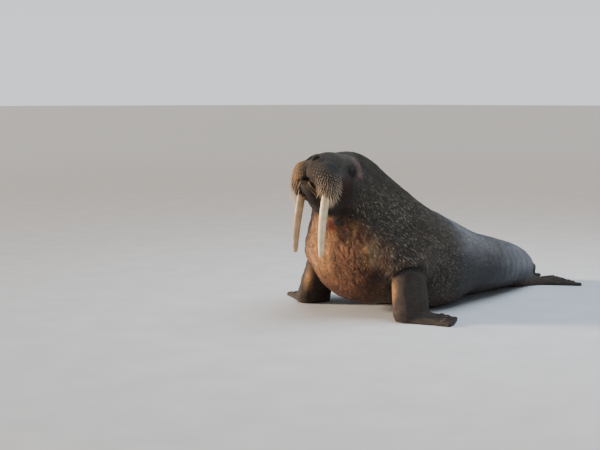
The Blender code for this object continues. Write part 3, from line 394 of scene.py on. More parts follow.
def sleeveField(points):    # the body beside the limb, with the sleeve's roll and without the limb
    field = trunkField(points)
    for form in [*bodyForms.values(), sleeve]:
        addForm(field, points, form)
    addRidge(field, points, ridges["sleeveRoll"])
    return field


def creaseOf(body):
    # above zero on the limb and below on the body, zero along the crease between them; far away it is -1
    near = (body[:, 0] > -0.45) & (body[:, 0] < 0.35) & (body[:, 1] > 0.25) & (body[:, 2] > 0.10) & (body[:, 2] < 0.65)
    away = -np.ones(len(body))
    at = body[near]
    away[near] = sleeveField(at) - limbField(at, limb["root"], pose["wrist"], *limb["shape"])
    return np.clip(away / 0.05, -1.0, 1.0)


def muzzleField(points, head):
    field = trunkField(points)
    for form in [*headForms.values(), *muzzleForms.values()]:
        addForm(field, head, form)
    return field


def walrusField(worldPoints):
    # the oval trunk, then the forms, ridges and limbs joined smoothly; the mouth is a groove along its own path
    points = turned(worldPoints, -1)
    head = headFrame(points)
    points[:, 1], head[:, 1] = np.abs(points[:, 1]), np.abs(head[:, 1])
    field = muzzleField(points, head)
    for form in bodyForms.values():
        addForm(field, points, form)
    for form in jawForms.values():
        addForm(field, head, form)
    for name in ("outerLip", "innerLip", "brow"):
        addRidge(field, head, ridges[name])
    addRidge(field, head, ridges["mouth"], cut=True)
    addForm(field, head, nostril, cut=True)
    addForm(field, head, eyeMound)
    away = head - np.asarray(eye["at"])
    near = np.abs(away).max(axis=1) < 0.12
    ring = np.hypot(np.hypot(away[:, 0], eye["lidSquash"] * away[:, 2]) - eye["lidRing"], away[:, 1] - eye["lidOut"])
    field[near] = smoothUnion(field[near], ring[near] - eye["lidThickness"], 0.015)
    addRidge(field, points, ridges["throat"])
    addForm(field, points, sleeve)
    addRidge(field, points, ridges["sleeveRoll"])
    addLimb(field, points, 0.025, limb["root"], pose["wrist"], *limb["shape"])
    addRidge(field, points, ridges["sleeveCrease"], cut=True)
    for blend, *bar in handBars():
        addLimb(field, points, blend, *bar)
    for blend, *bar in footBars():
        addLimb(field, points, blend, *bar)
    addLimb(field, points, 0.04, (-2.28, 0.0, 0.12), (-2.44, 0.0, 0.050), (0, 1, 0), (0.055, 0.050), (0.030, 0.022))
    return field


def headToWorld(at):  # points of the head's frame, with the head turned
    at = np.atleast_2d(np.asarray(at, float))
    c, s = math.cos(pose["headPitch"]), math.sin(pose["headPitch"])
    x, z = pose["headAt"][0] + c * at[:, 0] - s * at[:, 2], pose["headAt"][2] + s * at[:, 0] + c * at[:, 2]
    c, s = math.cos(pose["headYaw"]), math.sin(pose["headYaw"])
    return np.column_stack((c * x - s * at[:, 1], s * x + c * at[:, 1], z))


def worldToHead(points):
    return headFrame(turned(points, -1))


# where the walrus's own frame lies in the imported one, from the left eye's solid
eyeLow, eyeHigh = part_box("eye_left")
rowShift = np.array((eyeLow + eyeHigh) / 2) - headToWorld(eye["at"])[0]
print("own frame to packed frame:", rowShift.round(4))

# The hide

hide = {
    "inset": 0.004,         # of the hide below the solids' surface, the hair's depth
    "trunkStep": 0.0125,    # lattice step on the body
    "headStep": 0.0062,     # lattice step on the head
    "keptFaces": 0.59,      # the share of the lattice's faces that is kept
    "bosses": 0.0035,       # height of the lumps on neck and shoulders
    "wrinkles": 0.0030,
    "chestFolds": 0.004,
    "cracks": 0.005,
    "striae": 0.0016,       # upright wrinkles of the chest
    "rumpFolds": 0.009,
    "earPit": 0.006,
    "limbLines": 0.0022,    # level wrinkles of the flippers
}


def axisPoints(low, high, places, steps):  # spacing follows steps given at places; their number is 4n + 1
    found = [low]
    while found[-1] < high or len(found) % 4 != 1:
        found.append(found[-1] + float(np.interp(found[-1], places, steps)))
    return np.array(found)


def latticeValues(field, axes, block=4):  # the field at every lattice point near the surface, its sign elsewhere
    shape = tuple(len(axis) for axis in axes)
    coarseAxes = [axis[::block] for axis in axes]
    grid = np.stack(np.meshgrid(*coarseAxes, indexing="ij"), axis=-1)
    coarse = field(grid.reshape(-1, 3)).reshape(grid.shape[:3])
    n = [len(axis) - 1 for axis in coarseAxes]
    corners = [coarse[i:n[0] + i, j:n[1] + j, k:n[2] + k] for i in (0, 1) for j in (0, 1) for k in (0, 1)]
    sides = np.meshgrid(*(np.diff(axis) for axis in coarseAxes), indexing="ij")
    active = np.min(np.abs(corners), axis=0) < 0.9 * np.sqrt(sum(side ** 2 for side in sides))
    values = np.repeat(np.repeat(np.repeat(coarse, block, 0), block, 1), block, 2)
    values = values[:shape[0], :shape[1], :shape[2]].copy()
    wanted = np.zeros(shape, bool)
    for i in range(block + 1):
        for j in range(block + 1):
            for k in range(block + 1):
                view = wanted[i:i + block * n[0]:block, j:j + block * n[1]:block, k:k + block * n[2]:block]
                view |= active[:view.shape[0], :view.shape[1], :view.shape[2]]
    i, j, k = np.nonzero(wanted)
    values[i, j, k] = field(np.column_stack((axes[0][i], axes[1][j], axes[2][k])))
    return values


def slopeOf(field, points, probe=0.003):
    slope = np.empty_like(points)
    for axis in range(3):
        shift = np.zeros(3)
        shift[axis] = probe
        slope[:, axis] = (field(points + shift) - field(points - shift)) / (2 * probe)
    return slope


def surfaceOf(field, axes):
    # one point in each lattice cell that the zero surface crosses, at the mean of the crossings on its edges,
    # and one quad round each lattice edge that it crosses; then each point is moved onto the surface
    values = latticeValues(field, axes)
    inside = values < 0
    n = [size - 1 for size in values.shape]
    count = sum(inside[i:n[0] + i, j:n[1] + j, k:n[2] + k].astype(int) for i in (0, 1) for j in (0, 1) for k in (0, 1))
    cells = np.argwhere((count > 0) & (count < 8))
    index = np.full(n, -1)
    index[tuple(cells.T)] = np.arange(len(cells))
    total, crossings = np.zeros((len(cells), 3)), np.zeros(len(cells))
    for axis in range(3):
        for one in (0, 1):
            for two in (0, 1):
                offset = np.zeros(3, int)
                offset[(axis + 1) % 3], offset[(axis + 2) % 3] = one, two
                a = cells + offset
                b = a.copy()
                b[:, axis] += 1
                fa, fb = values[tuple(a.T)], values[tuple(b.T)]
                cross = (fa < 0) != (fb < 0)
                place = a + 0.0
                place[:, axis] += np.where(cross, fa / np.where(cross, fa - fb, 1.0), 0.0)
                total += place * cross[:, None]
                crossings += cross
    place = total / crossings[:, None]
    points = np.column_stack([np.interp(place[:, i], np.arange(len(axes[i])), axes[i]) for i in range(3)])
    size = np.column_stack([np.diff(axes[i])[cells[:, i]] for i in range(3)]).min(axis=1)
    quads = []
    for axis in range(3):
        b, c = (axis + 1) % 3, (axis + 2) % 3
        ahead = np.swapaxes(inside, 0, axis)
        edges = np.argwhere(np.swapaxes(ahead[1:] != ahead[:-1], 0, axis))
        edges = edges[(edges[:, b] > 0) & (edges[:, c] > 0) & (edges[:, b] < n[b]) & (edges[:, c] < n[c])]
        ring = []
        for backB, backC in ((1, 1), (0, 1), (0, 0), (1, 0)):
            cell = edges.copy()
            cell[:, b] -= backB
            cell[:, c] -= backC
            ring.append(index[tuple(cell.T)])
        ring = np.column_stack(ring)
        quads.append(np.where(inside[tuple(edges.T)][:, None], ring, ring[:, ::-1]))
    slope = slopeOf(field, points)
    move = -field(points)[:, None] * slope / np.maximum((slope ** 2).sum(axis=1), 0.2)[:, None]
    far = np.linalg.norm(move, axis=1)
    points = points + move * np.minimum(1.0, 0.4 * size / np.maximum(far, 1e-9))[:, None]
    return points, np.vstack(quads)


def bump(points, centre, radii):  # 1 at the centre, fading smoothly to 0 at the radii
    far = np.sqrt((((points - np.asarray(centre)) / np.asarray(radii)) ** 2).sum(axis=1))
    return 1.0 - smoothStep(0.0, 1.0, far)


def regions(points):
    # how much each point belongs to each part of the body, from 0 to 1, worked out from its place
    still = turned(points, -1)
    head = worldToHead(points)
    mirrored = np.column_stack((still[:, 0], np.abs(still[:, 1]), still[:, 2]))
    headMirrored = np.column_stack((head[:, 0], np.abs(head[:, 1]), head[:, 2]))
    place = trunkPlace(still)
    x, y, z = mirrored.T
    patch = roughCloud(points, 0.22, 3)
    low = -place[:, 5] / np.maximum(place[:, 3], 0.05)              # 1 at the underside, -1 at the back
    arm = smoothStep(0.34, 0.26, z) * smoothStep(0.36, 0.42, y) * smoothStep(-0.32, -0.27, x) * smoothStep(0.40, 0.34, x)
    crease = creaseOf(mirrored)
    arm = np.maximum(arm, smoothStep(0.0, 0.14, crease))
    foot = smoothStep(-2.12, -2.26, x)
    face = smoothStep(-0.16, -0.05, head[:, 0]) * smoothStep(-0.36, -0.28, head[:, 2])
    edge = np.interp(z, (0.00, 0.15, 0.33, 0.45, 0.60, 0.80, 0.95), (-0.06, 0.04, 0.16, 0.20, 0.24, 0.36, 0.43))
    chest = smoothStep(-0.07, 0.07, x - edge + 0.06 * patch) * smoothStep(0.98, 0.86, z) * (1 - arm)
    belly = smoothStep(0.35, 0.85, low + 0.25 * patch) * (1 - chest)
    rump = smoothStep(-0.95, -1.75, x + 0.15 * patch) * (1 - foot)
    neck = smoothStep(-0.85, -0.45, x + 0.15 * patch) * (1 - chest) * (1 - arm) * (1 - face)
    return {
        "arm": arm, "foot": foot, "face": face, "chest": chest, "belly": belly, "rump": rump, "neck": neck,
        "crease": crease, "head": headMirrored, "headLeft": head[:, 1], "body": mirrored, "bodyLeft": still[:, 1], "low": low, "patch": patch, "place": place,
    }


def cellEdges(points, size, seed=0):
    # nearest and second nearest of one random point in each cube of a lattice: 0 on the border between two cells
    at = points / size + 17.3 * (seed + 1)
    base = np.floor(at).astype(int)
    first, second = np.full(len(at), 9.0), np.full(len(at), 9.0)
    for i in (-1, 0, 1):
        for j in (-1, 0, 1):
            for k in (-1, 0, 1):
                cell = base + (i, j, k)
                a, b, c = (cell % 32).T
                spot = np.column_stack((cloudTable[a, b, c], cloudTable[b, c, a], cloudTable[c, a, b]))
                far = np.linalg.norm(cell + spot - at, axis=1)
                second = np.minimum(second, np.maximum(first, far))
                first = np.minimum(first, far)
    return second - first


def chestNet(points):
    # long slanting lozenges, about 60 mm wide and 150 mm high, their borders bent by a slow cloud
    bent = points + 0.030 * np.column_stack((cloud(points, 0.12, 14), cloud(points, 0.12, 15), cloud(points, 0.12, 16)))
    slant = bent @ np.array(((1.0, 0.0, 0.0), (0.0, 1.0, 0.0), (-0.25, 0.30, 0.42)))
    net = np.maximum(0.0, 1.0 - cellEdges(slant, 0.075, 1) / 0.16)
    finer = np.maximum(0.0, 1.0 - cellEdges(slant, 0.046, 2) / 0.20)
    return np.maximum(net, 0.6 * finer)


def chestStriae(points):    # long upright wrinkles, about 20 mm wide
    return cloud(points * np.array((1.0, 1.0, 0.22)) + 0.02 * points[:, ::-1], 0.021, 17)


def hideRelief(points, where):
    # height of the small forms: lumps on the neck, a net of chest folds, folds across the rump, wrinkles
    soft = 1 - 0.8 * where["face"]
    lumps = np.maximum(cloud(points, 0.034, 5), 0.0) * (0.35 + 0.65 * where["neck"]) * soft
    net = chestNet(points) * where["chest"]
    along = points[:, 0] + 0.10 * points[:, 2] + 0.035 * cloud(points, 0.25, 6)
    bands = np.cos((along + 1.36) * 2 * math.pi / 0.118)
    bands = bands * smoothStep(-1.15, -1.36, points[:, 0]) * smoothStep(-2.02, -1.85, points[:, 0])
    bands = bands * smoothStep(0.75, 0.1, np.abs(where["low"] + 0.05)) * (0.65 + 0.5 * cloud(points, 0.20, 7))
    fine = cloud(points * np.array((1.6, 1.0, 0.7)), 0.050, 12) * (1 - 0.7 * where["chest"]) * soft
    crack = sum(alongPath(where["body"], path, 0.011) for path in chestCracks)
    upright = chestStriae(points) * where["chest"]
    limbLines = cloud(points * np.array((0.8, 0.8, 2.0)), 0.030, 33) * np.maximum(where["arm"], where["foot"])
    return (
        hide["limbLines"] * limbLines + hide["bosses"] * lumps - hide["chestFolds"] * net + hide["rumpFolds"] * bands + hide["wrinkles"] * fine
        - hide["cracks"] * crack + hide["striae"] * upright
        - hide["earPit"] * bump(where["head"], earOpening, (0.018, 0.080, 0.022))
    ), net, bands


hideColours = {
    "side": rgb("353437"),
    # light blue-grey for the top of the body: partly the back's grey, partly a painted sheen of the sky on the wet hide
    "back": rgb("7e7f85"),
    "neck": rgb("2b2723"),
    "brown": rgb("4a413b"),
    "brownLow": rgb("5a4c47"),
    "chest": rgb("7c5036"),
    "chestPale": rgb("a67d52"),
    "chestRed": rgb("70260f"),
    # painted shade for the lower chest and the chest beside the limb
    "chestLowShade": rgb("4a3026"),
    # near-black, laid as painted shade in the chest's cracks
    "chestCrack": rgb("1d0f0a"),
    # painted sunlight: a golden tone for the sunlit parts of the chest
    "chestPaintedSun": rgb("c08b58"),
    # painted shade for the chest's side away from the sun
    "chestPaintedShade": rgb("4e2a1e"),
    "straw": rgb("8a785e"),
    # near-black, laid as painted shadow in the armpit and under the head and the throat fold
    "throat": rgb("1f0f0a"),
    "belly": rgb("4a342a"),
    "rump": rgb("505156"),
    # partly the rump's paler grey, partly a painted bluish reflection of the sky
    "rumpEndAndSheen": rgb("7e8088"),
    "flipper": rgb("332c28"),
    # painted sunlight: a warm golden tone for sunlit edges
    "paintedSunlitGold": rgb("967048"),
    "face": rgb("302b28"),
    "foreheadPaintedSheen": rgb("38332e"),
    "padTop": rgb("14171b"),
    "padMiddle": rgb("261f18"),
    "padLow": rgb("33261d"),
    "padOuter": rgb("3d3a38"),
    "lip": rgb("6c5243"),
    "chin": rgb("181109"),
    # near-black, laid as painted shade in the mouth's slit, the creases of the lips, under the throat fold and in the
    # armpit
    "mouth": rgb("060404"),
    "cheek": rgb("270f0a"),
    "eyeRidge": rgb("7d635a"),
    "browPale": rgb("67645a"),
    # near-black round the eye: partly its dark skin, partly painted shade in its hollow
    "eyeRim": rgb("070606"),
    # near-black, laid as painted shade in the nostrils and the ear pit
    "nostril": rgb("060505"),
}


# Deep cracks across the left of the chest, on the straight-headed body
chestCracks = (
    ((0.405, 0.100, 0.675), (0.393, 0.134, 0.652), (0.382, 0.156, 0.618), (0.366, 0.190, 0.596)),
    ((0.396, 0.108, 0.590), (0.394, 0.113, 0.563), (0.382, 0.146, 0.527), (0.368, 0.176, 0.490), (0.352, 0.204, 0.456)),
    ((0.344, 0.236, 0.730), (0.324, 0.262, 0.665), (0.305, 0.287, 0.635)),
    ((0.316, 0.266, 0.440), (0.292, 0.287, 0.401), (0.279, 0.290, 0.369)),
    ((0.372, 0.124, 0.406), (0.352, 0.127, 0.349)),
    ((0.278, 0.325, 0.543), (0.267, 0.338, 0.482)),
    ((0.400, 0.075, 0.529), (0.393, 0.078, 0.466)),
    ((0.358, 0.209, 0.609), (0.366, 0.190, 0.570), (0.360, 0.202, 0.538)),
)


def alongPath(points, path, reach):  # 1 on a path, fading to 0 at its reach
    path = np.asarray(path)
    share = np.zeros(len(points))
    for start, end in zip(path[:-1], path[1:]):
        step = end - start
        t = np.clip((points - start) @ step / (step @ step), 0.0, 1.0)
        far = np.linalg.norm(points - start - t[:, None] * step, axis=1)
        share = np.maximum(share, 1.0 - smoothStep(0.3, 1.0, far / reach))
    return share


def hideColour(points, where, net, bands):
    # named colours laid over one another by region, with soft patches; painted shade darkens the folds, creases, cracks
    # and hollows, and some regions carry painted sunlight, sheen or shadow
    colour = np.tile(hideColours["side"], (len(points), 1))

    def lay(name, share):
        nonlocal colour
        share = np.clip(share, 0.0, 1.0)[:, None]
        colour = colour * (1 - share) + hideColours[name] * share

    head, body, patch = where["head"], where["body"], where["patch"]
    nearSide = smoothStep(-0.020, 0.010, where["headLeft"])     # the animal's left, seen in the picture
    z = body[:, 2]
    blotch = 0.5 + 0.5 * roughCloud(points, 0.085, 40)
    # painted sky sheen: the top of the body laid lighter and bluer than its sides, partly the back's own grey
    lay("back", smoothStep(0.15, -0.75, where["low"] + 0.25 * patch))
    lay("rump", where["rump"])
    # the upper rear of the rump: partly its paler grey, partly a painted bluish reflection of the sky
    lay("rumpEndAndSheen", smoothStep(-1.30, -1.95, body[:, 0] + 0.12 * patch) * smoothStep(0.6, -0.2, where["low"]))
    lay("neck", where["neck"])
    lay("brown", 0.9 * bump(body, (-0.24, 0.58, 0.58), (0.34, 0.40, 0.36)) * smoothStep(0.25, 0.7, blotch))
    lay("brownLow", 0.9 * bump(body, (-0.17, 0.60, 0.44), (0.26, 0.26, 0.20)))
    lay("belly", 0.8 * where["belly"])
    lay("chest", where["chest"])
    lay("chestPale", where["chest"] * smoothStep(0.45, 0.80, blotch) * smoothStep(0.30, 0.75, z))
    # painted shade: the chest darker towards the bottom
    lay("chestLowShade", 0.8 * where["chest"] * smoothStep(0.36, 0.10, z + 0.10 * patch))
    left = where["bodyLeft"]
    # painted sunlight on the side of the chest that faces the sun
    lay("chestPaintedSun", where["chest"] * smoothStep(0.10, -0.04, left) * smoothStep(0.20, 0.45, z) * (0.6 + 0.4 * blotch))
    # painted shade: the chest's side away from the sun laid dark red-brown
    lay("chestPaintedShade", 1.4 * smoothStep(-0.03, 0.04, left) * bump(body, (0.400, 0.130, 0.690), (0.12, 0.105, 0.115)) * smoothStep(0.0, 0.5, blotch))
    lay("straw", 0.85 * bump(body, (0.25, 0.35, 0.53), (0.10, 0.11, 0.17)))
    # a painted sunlit streak on the chest
    lay("chestPaintedSun", 0.8 * alongPath(body, ((0.292, 0.300, 0.575), (0.268, 0.322, 0.500), (0.262, 0.318, 0.430)), 0.030))
    lay("chestRed", 1.4 * bump(body, (0.450, 0.030, 0.765), (0.09, 0.065, 0.085)))
    # painted shade on the chest beside the limb
    lay("chestLowShade", 0.8 * bump(body, (0.20, 0.36, 0.28), (0.22, 0.16, 0.20)))
    lay("flipper", 0.9 * where["arm"])
    # painted sunlight on the lit edge of the flipper
    lay("paintedSunlitGold", 1.1 * bump(body, (0.145, 0.500, 0.230), (0.080, 0.075, 0.170)))
    # painted shadow in the armpit, where the limb meets the chest
    lay("throat", 1.3 * bump(body, (0.21, 0.385, 0.30), (0.09, 0.10, 0.17)))
    # more painted shadow in the armpit
    lay("mouth", 1.2 * bump(body, (0.165, 0.430, 0.300), (0.080, 0.070, 0.130)))
    # painted shade in the listed cracks, which are also cut into the relief
    crack = sum(alongPath(body, path, 0.009) for path in chestCracks) * smoothStep(0.0, 0.06, left)
    lay("chestCrack", 0.85 * crack)
    lay("flipper", 0.8 * where["foot"])
    lay("face", where["face"])
    # painted sheen: the top of the head laid a little lighter
    lay("foreheadPaintedSheen", where["face"] * smoothStep(0.03, 0.11, head[:, 2]))
    # painted shadow on the throat under the head, and on the near side under the throat fold and the chin
    lay("throat", 1.2 * bump(body, (0.36, 0.20, 0.87), (0.18, 0.20, 0.13)))
    nearChest = smoothStep(-0.03, 0.04, left)
    # painted shadow under the throat fold, on the near side
    lay("mouth", 1.7 * nearChest * bump(body, (0.442, 0.108, 0.796), (0.090, 0.085, 0.058)))
    lay("throat", 1.5 * nearChest * bump(body, (0.460, 0.040, 0.870), (0.090, 0.100, 0.056)))
    lay("cheek", 1.4 * bump(head, (-0.010, 0.200, -0.085), (0.14, 0.13, 0.19)))
    lay("chin", 1.6 * bump(head, (0.150, 0.000, -0.220), (0.17, 0.12, 0.12)))
    lay("chin", 1.4 * bump(head, (0.225, 0.000, -0.165), (0.10, 0.10, 0.08)))
    lay("padMiddle", 1.3 * bump(head, (0.260, 0.060, -0.040), (0.10, 0.075, 0.15)))
    lay("padLow", 1.1 * bump(head, (0.19, 0.165, -0.150), (0.15, 0.11, 0.13)))
    lay("padOuter", 1.2 * bump(head, (0.080, 0.175, 0.010), (0.05, 0.06, 0.09)))
    lay("padTop", 1.8 * bump(head, (0.165, 0.165, 0.000), (0.100, 0.095, 0.080)))
    # painted sunlight on the far whisker pad
    lay("paintedSunlitGold", 0.9 * (1 - nearSide) * bump(head, (0.230, 0.120, -0.060), (0.16, 0.12, 0.16)))
    # painted shade between the near pad and the lip folds
    lay("mouth", 1.2 * bump(head, (0.20, 0.085, -0.215), (0.09, 0.05, 0.07)))
    fold = alongPath(head, ridges["outerLip"][0], 0.017) + alongPath(head, ridges["innerLip"][0], 0.014)
    lay("lip", fold * nearSide)
    # painted shade in the crease between the lip folds
    lay("mouth", nearSide * alongPath(head, ((0.246, 0.006, -0.140), (0.230, 0.026, -0.185), (0.196, 0.046, -0.225)), 0.014))
    lay("chin", 0.9 * fold * (1 - nearSide))
    # painted shade along the mouth's slit, weaker on the near side
    lay("mouth", 1.6 * alongPath(head, ridges["mouth"][0], 0.019) * (1 - 0.75 * smoothStep(0.0, 0.04, where["headLeft"])))
    lay("browPale", 0.55 * alongPath(head, ((0.050, 0.050, 0.170), (-0.030, 0.080, 0.172), (-0.085, 0.110, 0.166)), 0.055))
    lay("eyeRidge", 0.58 * alongPath(head, ridges["brow"][0][1:], 0.056))
    # near-black round the eye: partly its dark skin, partly painted shade in the eye's hollow
    lay("eyeRim", 2.6 * bump(head, (-0.050, 0.160, 0.060), (0.074, 0.088, 0.080)))
    # painted shade in the nostrils and, below, in the ear pit
    lay("nostril", 2.4 * bump(head, nostril[0], (0.040, 0.026, 0.034)))
    lay("nostril", 1.5 * bump(head, earOpening, (0.012, 0.080, 0.016)))
    padShare = bump(head, (0.200, 0.090, -0.050), (0.16, 0.16, 0.20))
    padStreaks = cloud(head * np.array((1.0, 1.0, 0.30)), 0.014, 27)     # about 14 mm wide
    shade = 1.0 + 0.24 * roughCloud(points, 0.09, 20) + 0.14 * cloud(points, 0.025, 24) + 0.45 * padShare * padStreaks
    # the flippers partly a random tone, partly painted shade: lighter on the ridges of their wrinkles and darker
    # between
    limbLines = cloud(points * np.array((0.8, 0.8, 2.0)), 0.030, 33) + 0.8 * roughCloud(points, 0.07, 35)
    shade = shade * (1 + 0.22 * np.maximum(where["arm"], where["foot"]) * limbLines)
    # painted shade in the chest's fold net, painted light and shade across the rump folds and the chest's upright
    # wrinkles
    shade = shade * (1 - 0.60 * net) * (1 + 0.30 * bands) * (1 + 0.24 * where["chest"] * chestStriae(points))
    return np.clip(colour * shade[:, None], 0.0, 1.0)


def hideAxes():
    coarse, fine = hide["trunkStep"], hide["headStep"]
    return (
        axisPoints(-2.90, 0.95, (0.06, 0.24), (coarse, fine)),
        axisPoints(-1.15, 1.15, (-0.42, -0.27, 0.38, 0.52), (coarse, fine, fine, coarse)),
        axisPoints(-0.08, 1.50, (0.72, 0.90), (coarse, fine)),
    )


hidePoints, hideQuads = surfaceOf(lambda p: walrusField(p) + hide["inset"], hideAxes())
print("hide surface", len(hidePoints), "points")
hideNormals = unit(slopeOf(walrusField, hidePoints))
hideWhere = regions(hidePoints)
hidePoints = hidePoints + hideNormals * hideRelief(hidePoints, hideWhere)[0][:, None]
hidePoints[:, 2] = np.maximum(hidePoints[:, 2], 0.0)


def hideMaterial():
    # Wet walrus hide: thick leather, cracked into a net of folds, with a dull sheen where it catches the sky
    material, tree, shader = newMaterial("walrus hide")
    place = addNode(tree, "TexCoord").outputs["Object"]
    tone = addNode(tree, "Attribute", attribute_name="hideColour").outputs["Color"]
    marks = addNode(tree, "Attribute", attribute_name="hideMarks").outputs["Color"]
    split = addNode(tree, "SeparateColor", {"Color": marks})
    chest, neck, face = (split.outputs[i] for i in range(3))
    # folds of the chest: cells about 70 mm wide and 130 mm high
    tall = addNode(tree, "Mapping", {"Vector": place, "Scale": (1.0, 1.0, 0.55), "Rotation": (0, 0.30, 0)})
    warp = addNode(tree, "TexNoise", {"Vector": place, "Scale": 9.0, "Detail": 2.0})
    bent = addNode(tree, "VectorMath", {0: tall.outputs[0], 1: warp.outputs["Color"]}, operation="MULTIPLY_ADD")
    bent.inputs[0].default_value = (0, 0, 0)
    tree.links.new(warp.outputs["Color"], bent.inputs[0])
    bent.inputs[1].default_value = (0.10, 0.10, 0.10)
    tree.links.new(tall.outputs[0], bent.inputs[2])
    cracks = addNode(tree, "TexVoronoi", {"Vector": bent.outputs[0], "Scale": 17.0}, feature="DISTANCE_TO_EDGE")
    crackDepth = addNode(tree, "MapRange", {"Value": cracks.outputs["Distance"], "From Min": 0.01, "From Max": 0.10})
    # fine leather net, cells about 14 mm
    fineNet = addNode(tree, "TexVoronoi", {"Vector": bent.outputs[0], "Scale": 62.0}, feature="DISTANCE_TO_EDGE")
    fineDepth = addNode(tree, "MapRange", {"Value": fineNet.outputs["Distance"], "From Min": 0.0, "From Max": 0.14})
    # short flat hair: pale streaks about 5 mm wide and 40 mm long, leaning back and down; partly the hair's straw
    # colour, partly painted sheen on the wet hair
    lean = addNode(tree, "Mapping", {"Vector": place, "Rotation": (0, -0.85, 0), "Scale": (26.0, 170.0, 170.0)})
    hair = addNode(tree, "TexNoise", {"Vector": lean.outputs[0], "Scale": 1.0, "Detail": 3.0, "Roughness": 0.6})
    hairPaleAndSheen = addNode(tree, "MapRange", {"Value": hair.outputs["Fac"], "From Min": 0.56, "From Max": 0.70})
    mottle = addNode(tree, "TexNoise", {"Vector": place, "Scale": 48.0, "Detail": 5.0, "Roughness": 0.62})
    mottleShade = addNode(tree, "MapRange", {"Value": mottle.outputs["Fac"], "From Min": 0.25, "From Max": 0.75,
                                             "To Min": 0.62, "To Max": 1.38})
    base = addNode(tree, "VectorMath", {0: tone, 1: mottleShade.outputs[0]}, operation="MULTIPLY")
    # painted shade in the chest's cracks
    crackDark = addNode(tree, "MapRange", {"Value": crackDepth.outputs[0], "To Min": 0.18, "To Max": 1.0})
    broken = addNode(tree, "TexNoise", {"Vector": place, "Scale": 8.0, "Detail": 2.0})
    shown = addNode(tree, "MapRange", {"Value": broken.outputs["Fac"], "From Min": 0.36, "From Max": 0.52})
    crackShare = addNode(tree, "Math", {0: chest, 1: shown.outputs[0]}, operation="MULTIPLY")
    crackMix = addNode(tree, "Mix", {"Factor": crackShare.outputs[0], "A": 1.0, "B": crackDark.outputs[0]})
    # painted shade in the fine net
    fineDark = addNode(tree, "MapRange", {"Value": fineDepth.outputs[0], "To Min": 0.78, "To Max": 1.0})
    dark = addNode(tree, "Math", {0: crackMix.outputs[0], 1: fineDark.outputs[0]}, operation="MULTIPLY")
    base = addNode(tree, "VectorMath", {0: base.outputs[0], 1: dark.outputs[0]}, operation="MULTIPLY")
    # the crease over the limb: a painted shadow line about 10 mm wide, under the roll that overhangs the limb
    crease = addNode(tree, "Attribute", attribute_name="creaseAway").outputs["Fac"]
    creaseWide = addNode(tree, "Math", {0: crease}, operation="ABSOLUTE")
    creaseShadowPaint = addNode(tree, "MapRange", {"Value": creaseWide.outputs[0], "From Min": 0.10, "From Max": 0.28,
                                            "To Min": 0.06, "To Max": 1.0})
    base = addNode(tree, "VectorMath", {0: base.outputs[0], 1: creaseShadowPaint.outputs[0]}, operation="MULTIPLY")
    # upright streaks on the chest, about 9 mm wide and 50 mm high
    upright = addNode(tree, "Mapping", {"Vector": bent.outputs[0], "Scale": (110.0, 110.0, 36.0)})
    streaks = addNode(tree, "TexNoise", {"Vector": upright.outputs[0], "Scale": 1.0, "Detail": 3.0, "Roughness": 0.6})
    streakShade = addNode(tree, "MapRange", {"Value": streaks.outputs["Fac"], "From Min": 0.32, "From Max": 0.68,
                                             "To Min": 0.55, "To Max": 1.45})
    streakMix = addNode(tree, "Mix", {"Factor": chest, "A": 1.0, "B": streakShade.outputs[0]})
    base = addNode(tree, "VectorMath", {0: base.outputs[0], 1: streakMix.outputs[0]}, operation="MULTIPLY")
    hairShare = addNode(tree, "Math", {0: hairPaleAndSheen.outputs[0], 1: 0.38}, operation="MULTIPLY")
    hairOn = addNode(tree, "Math", {0: neck, 1: 0.75, 2: 0.25}, operation="MULTIPLY_ADD")
    hairShare = addNode(tree, "Math", {0: hairShare.outputs[0], 1: hairOn.outputs[0]}, operation="MULTIPLY")
    mixed = addNode(tree, "Mix", {0: hairShare.outputs[0], 6: base.outputs[0], 7: linearColour("b7a88c")}, data_type="RGBA")
    tree.links.new(mixed.outputs[2], shader.inputs["Base Color"])
    rough = addNode(tree, "MapRange", {"Value": mottle.outputs["Fac"], "From Min": 0.3, "From Max": 0.7,
                                       "To Min": 0.50, "To Max": 0.72})
    tree.links.new(rough.outputs[0], shader.inputs["Roughness"])
    shader.inputs["Specular IOR Level"].default_value = 0.30
    grain = addNode(tree, "TexNoise", {"Vector": place, "Scale": 300.0, "Detail": 2.0})   # pores about 3 mm
    crackBump = addNode(tree, "Bump", {"Strength": 0.8, "Distance": 0.012, "Height": crackMix.outputs[0]})
    fineBump = addNode(tree, "Bump", {"Strength": 0.55, "Distance": 0.0035, "Height": fineDepth.outputs[0],
                                      "Normal": crackBump.outputs[0]})
    hairBump = addNode(tree, "Bump", {"Strength": 0.5, "Distance": 0.004, "Height": hair.outputs["Fac"],
                                      "Normal": fineBump.outputs[0]})
    grainBump = addNode(tree, "Bump", {"Strength": 0.3, "Distance": 0.0015, "Height": grain.outputs["Fac"],
                                       "Normal": hairBump.outputs[0]})
    tree.links.new(grainBump.outputs[0], shader.inputs["Normal"])
    return material


hideObject = meshObject("hide", hidePoints + rowShift, hideQuads, hideMaterial())


def thinOut(thing, share):      # fewer faces, taken where the surface is flattest; gives the points that are left
    fewer = thing.modifiers.new("fewer faces", "DECIMATE")
    fewer.ratio = share
    mesh = bpy.data.meshes.new_from_object(thing.evaluated_get(bpy.context.evaluated_depsgraph_get()))
    thing.modifiers.clear()
    old, thing.data = thing.data, mesh
    bpy.data.meshes.remove(old)
    mesh.name = thing.name
    points = np.empty(3 * len(mesh.vertices), np.float32)
    mesh.vertices.foreach_get("co", points)
    points = points.reshape(-1, 3)
    points[:, 2] = np.maximum(points[:, 2], 0.0)
    mesh.vertices.foreach_set("co", points.ravel())
    mesh.update()
    return points.astype(float)


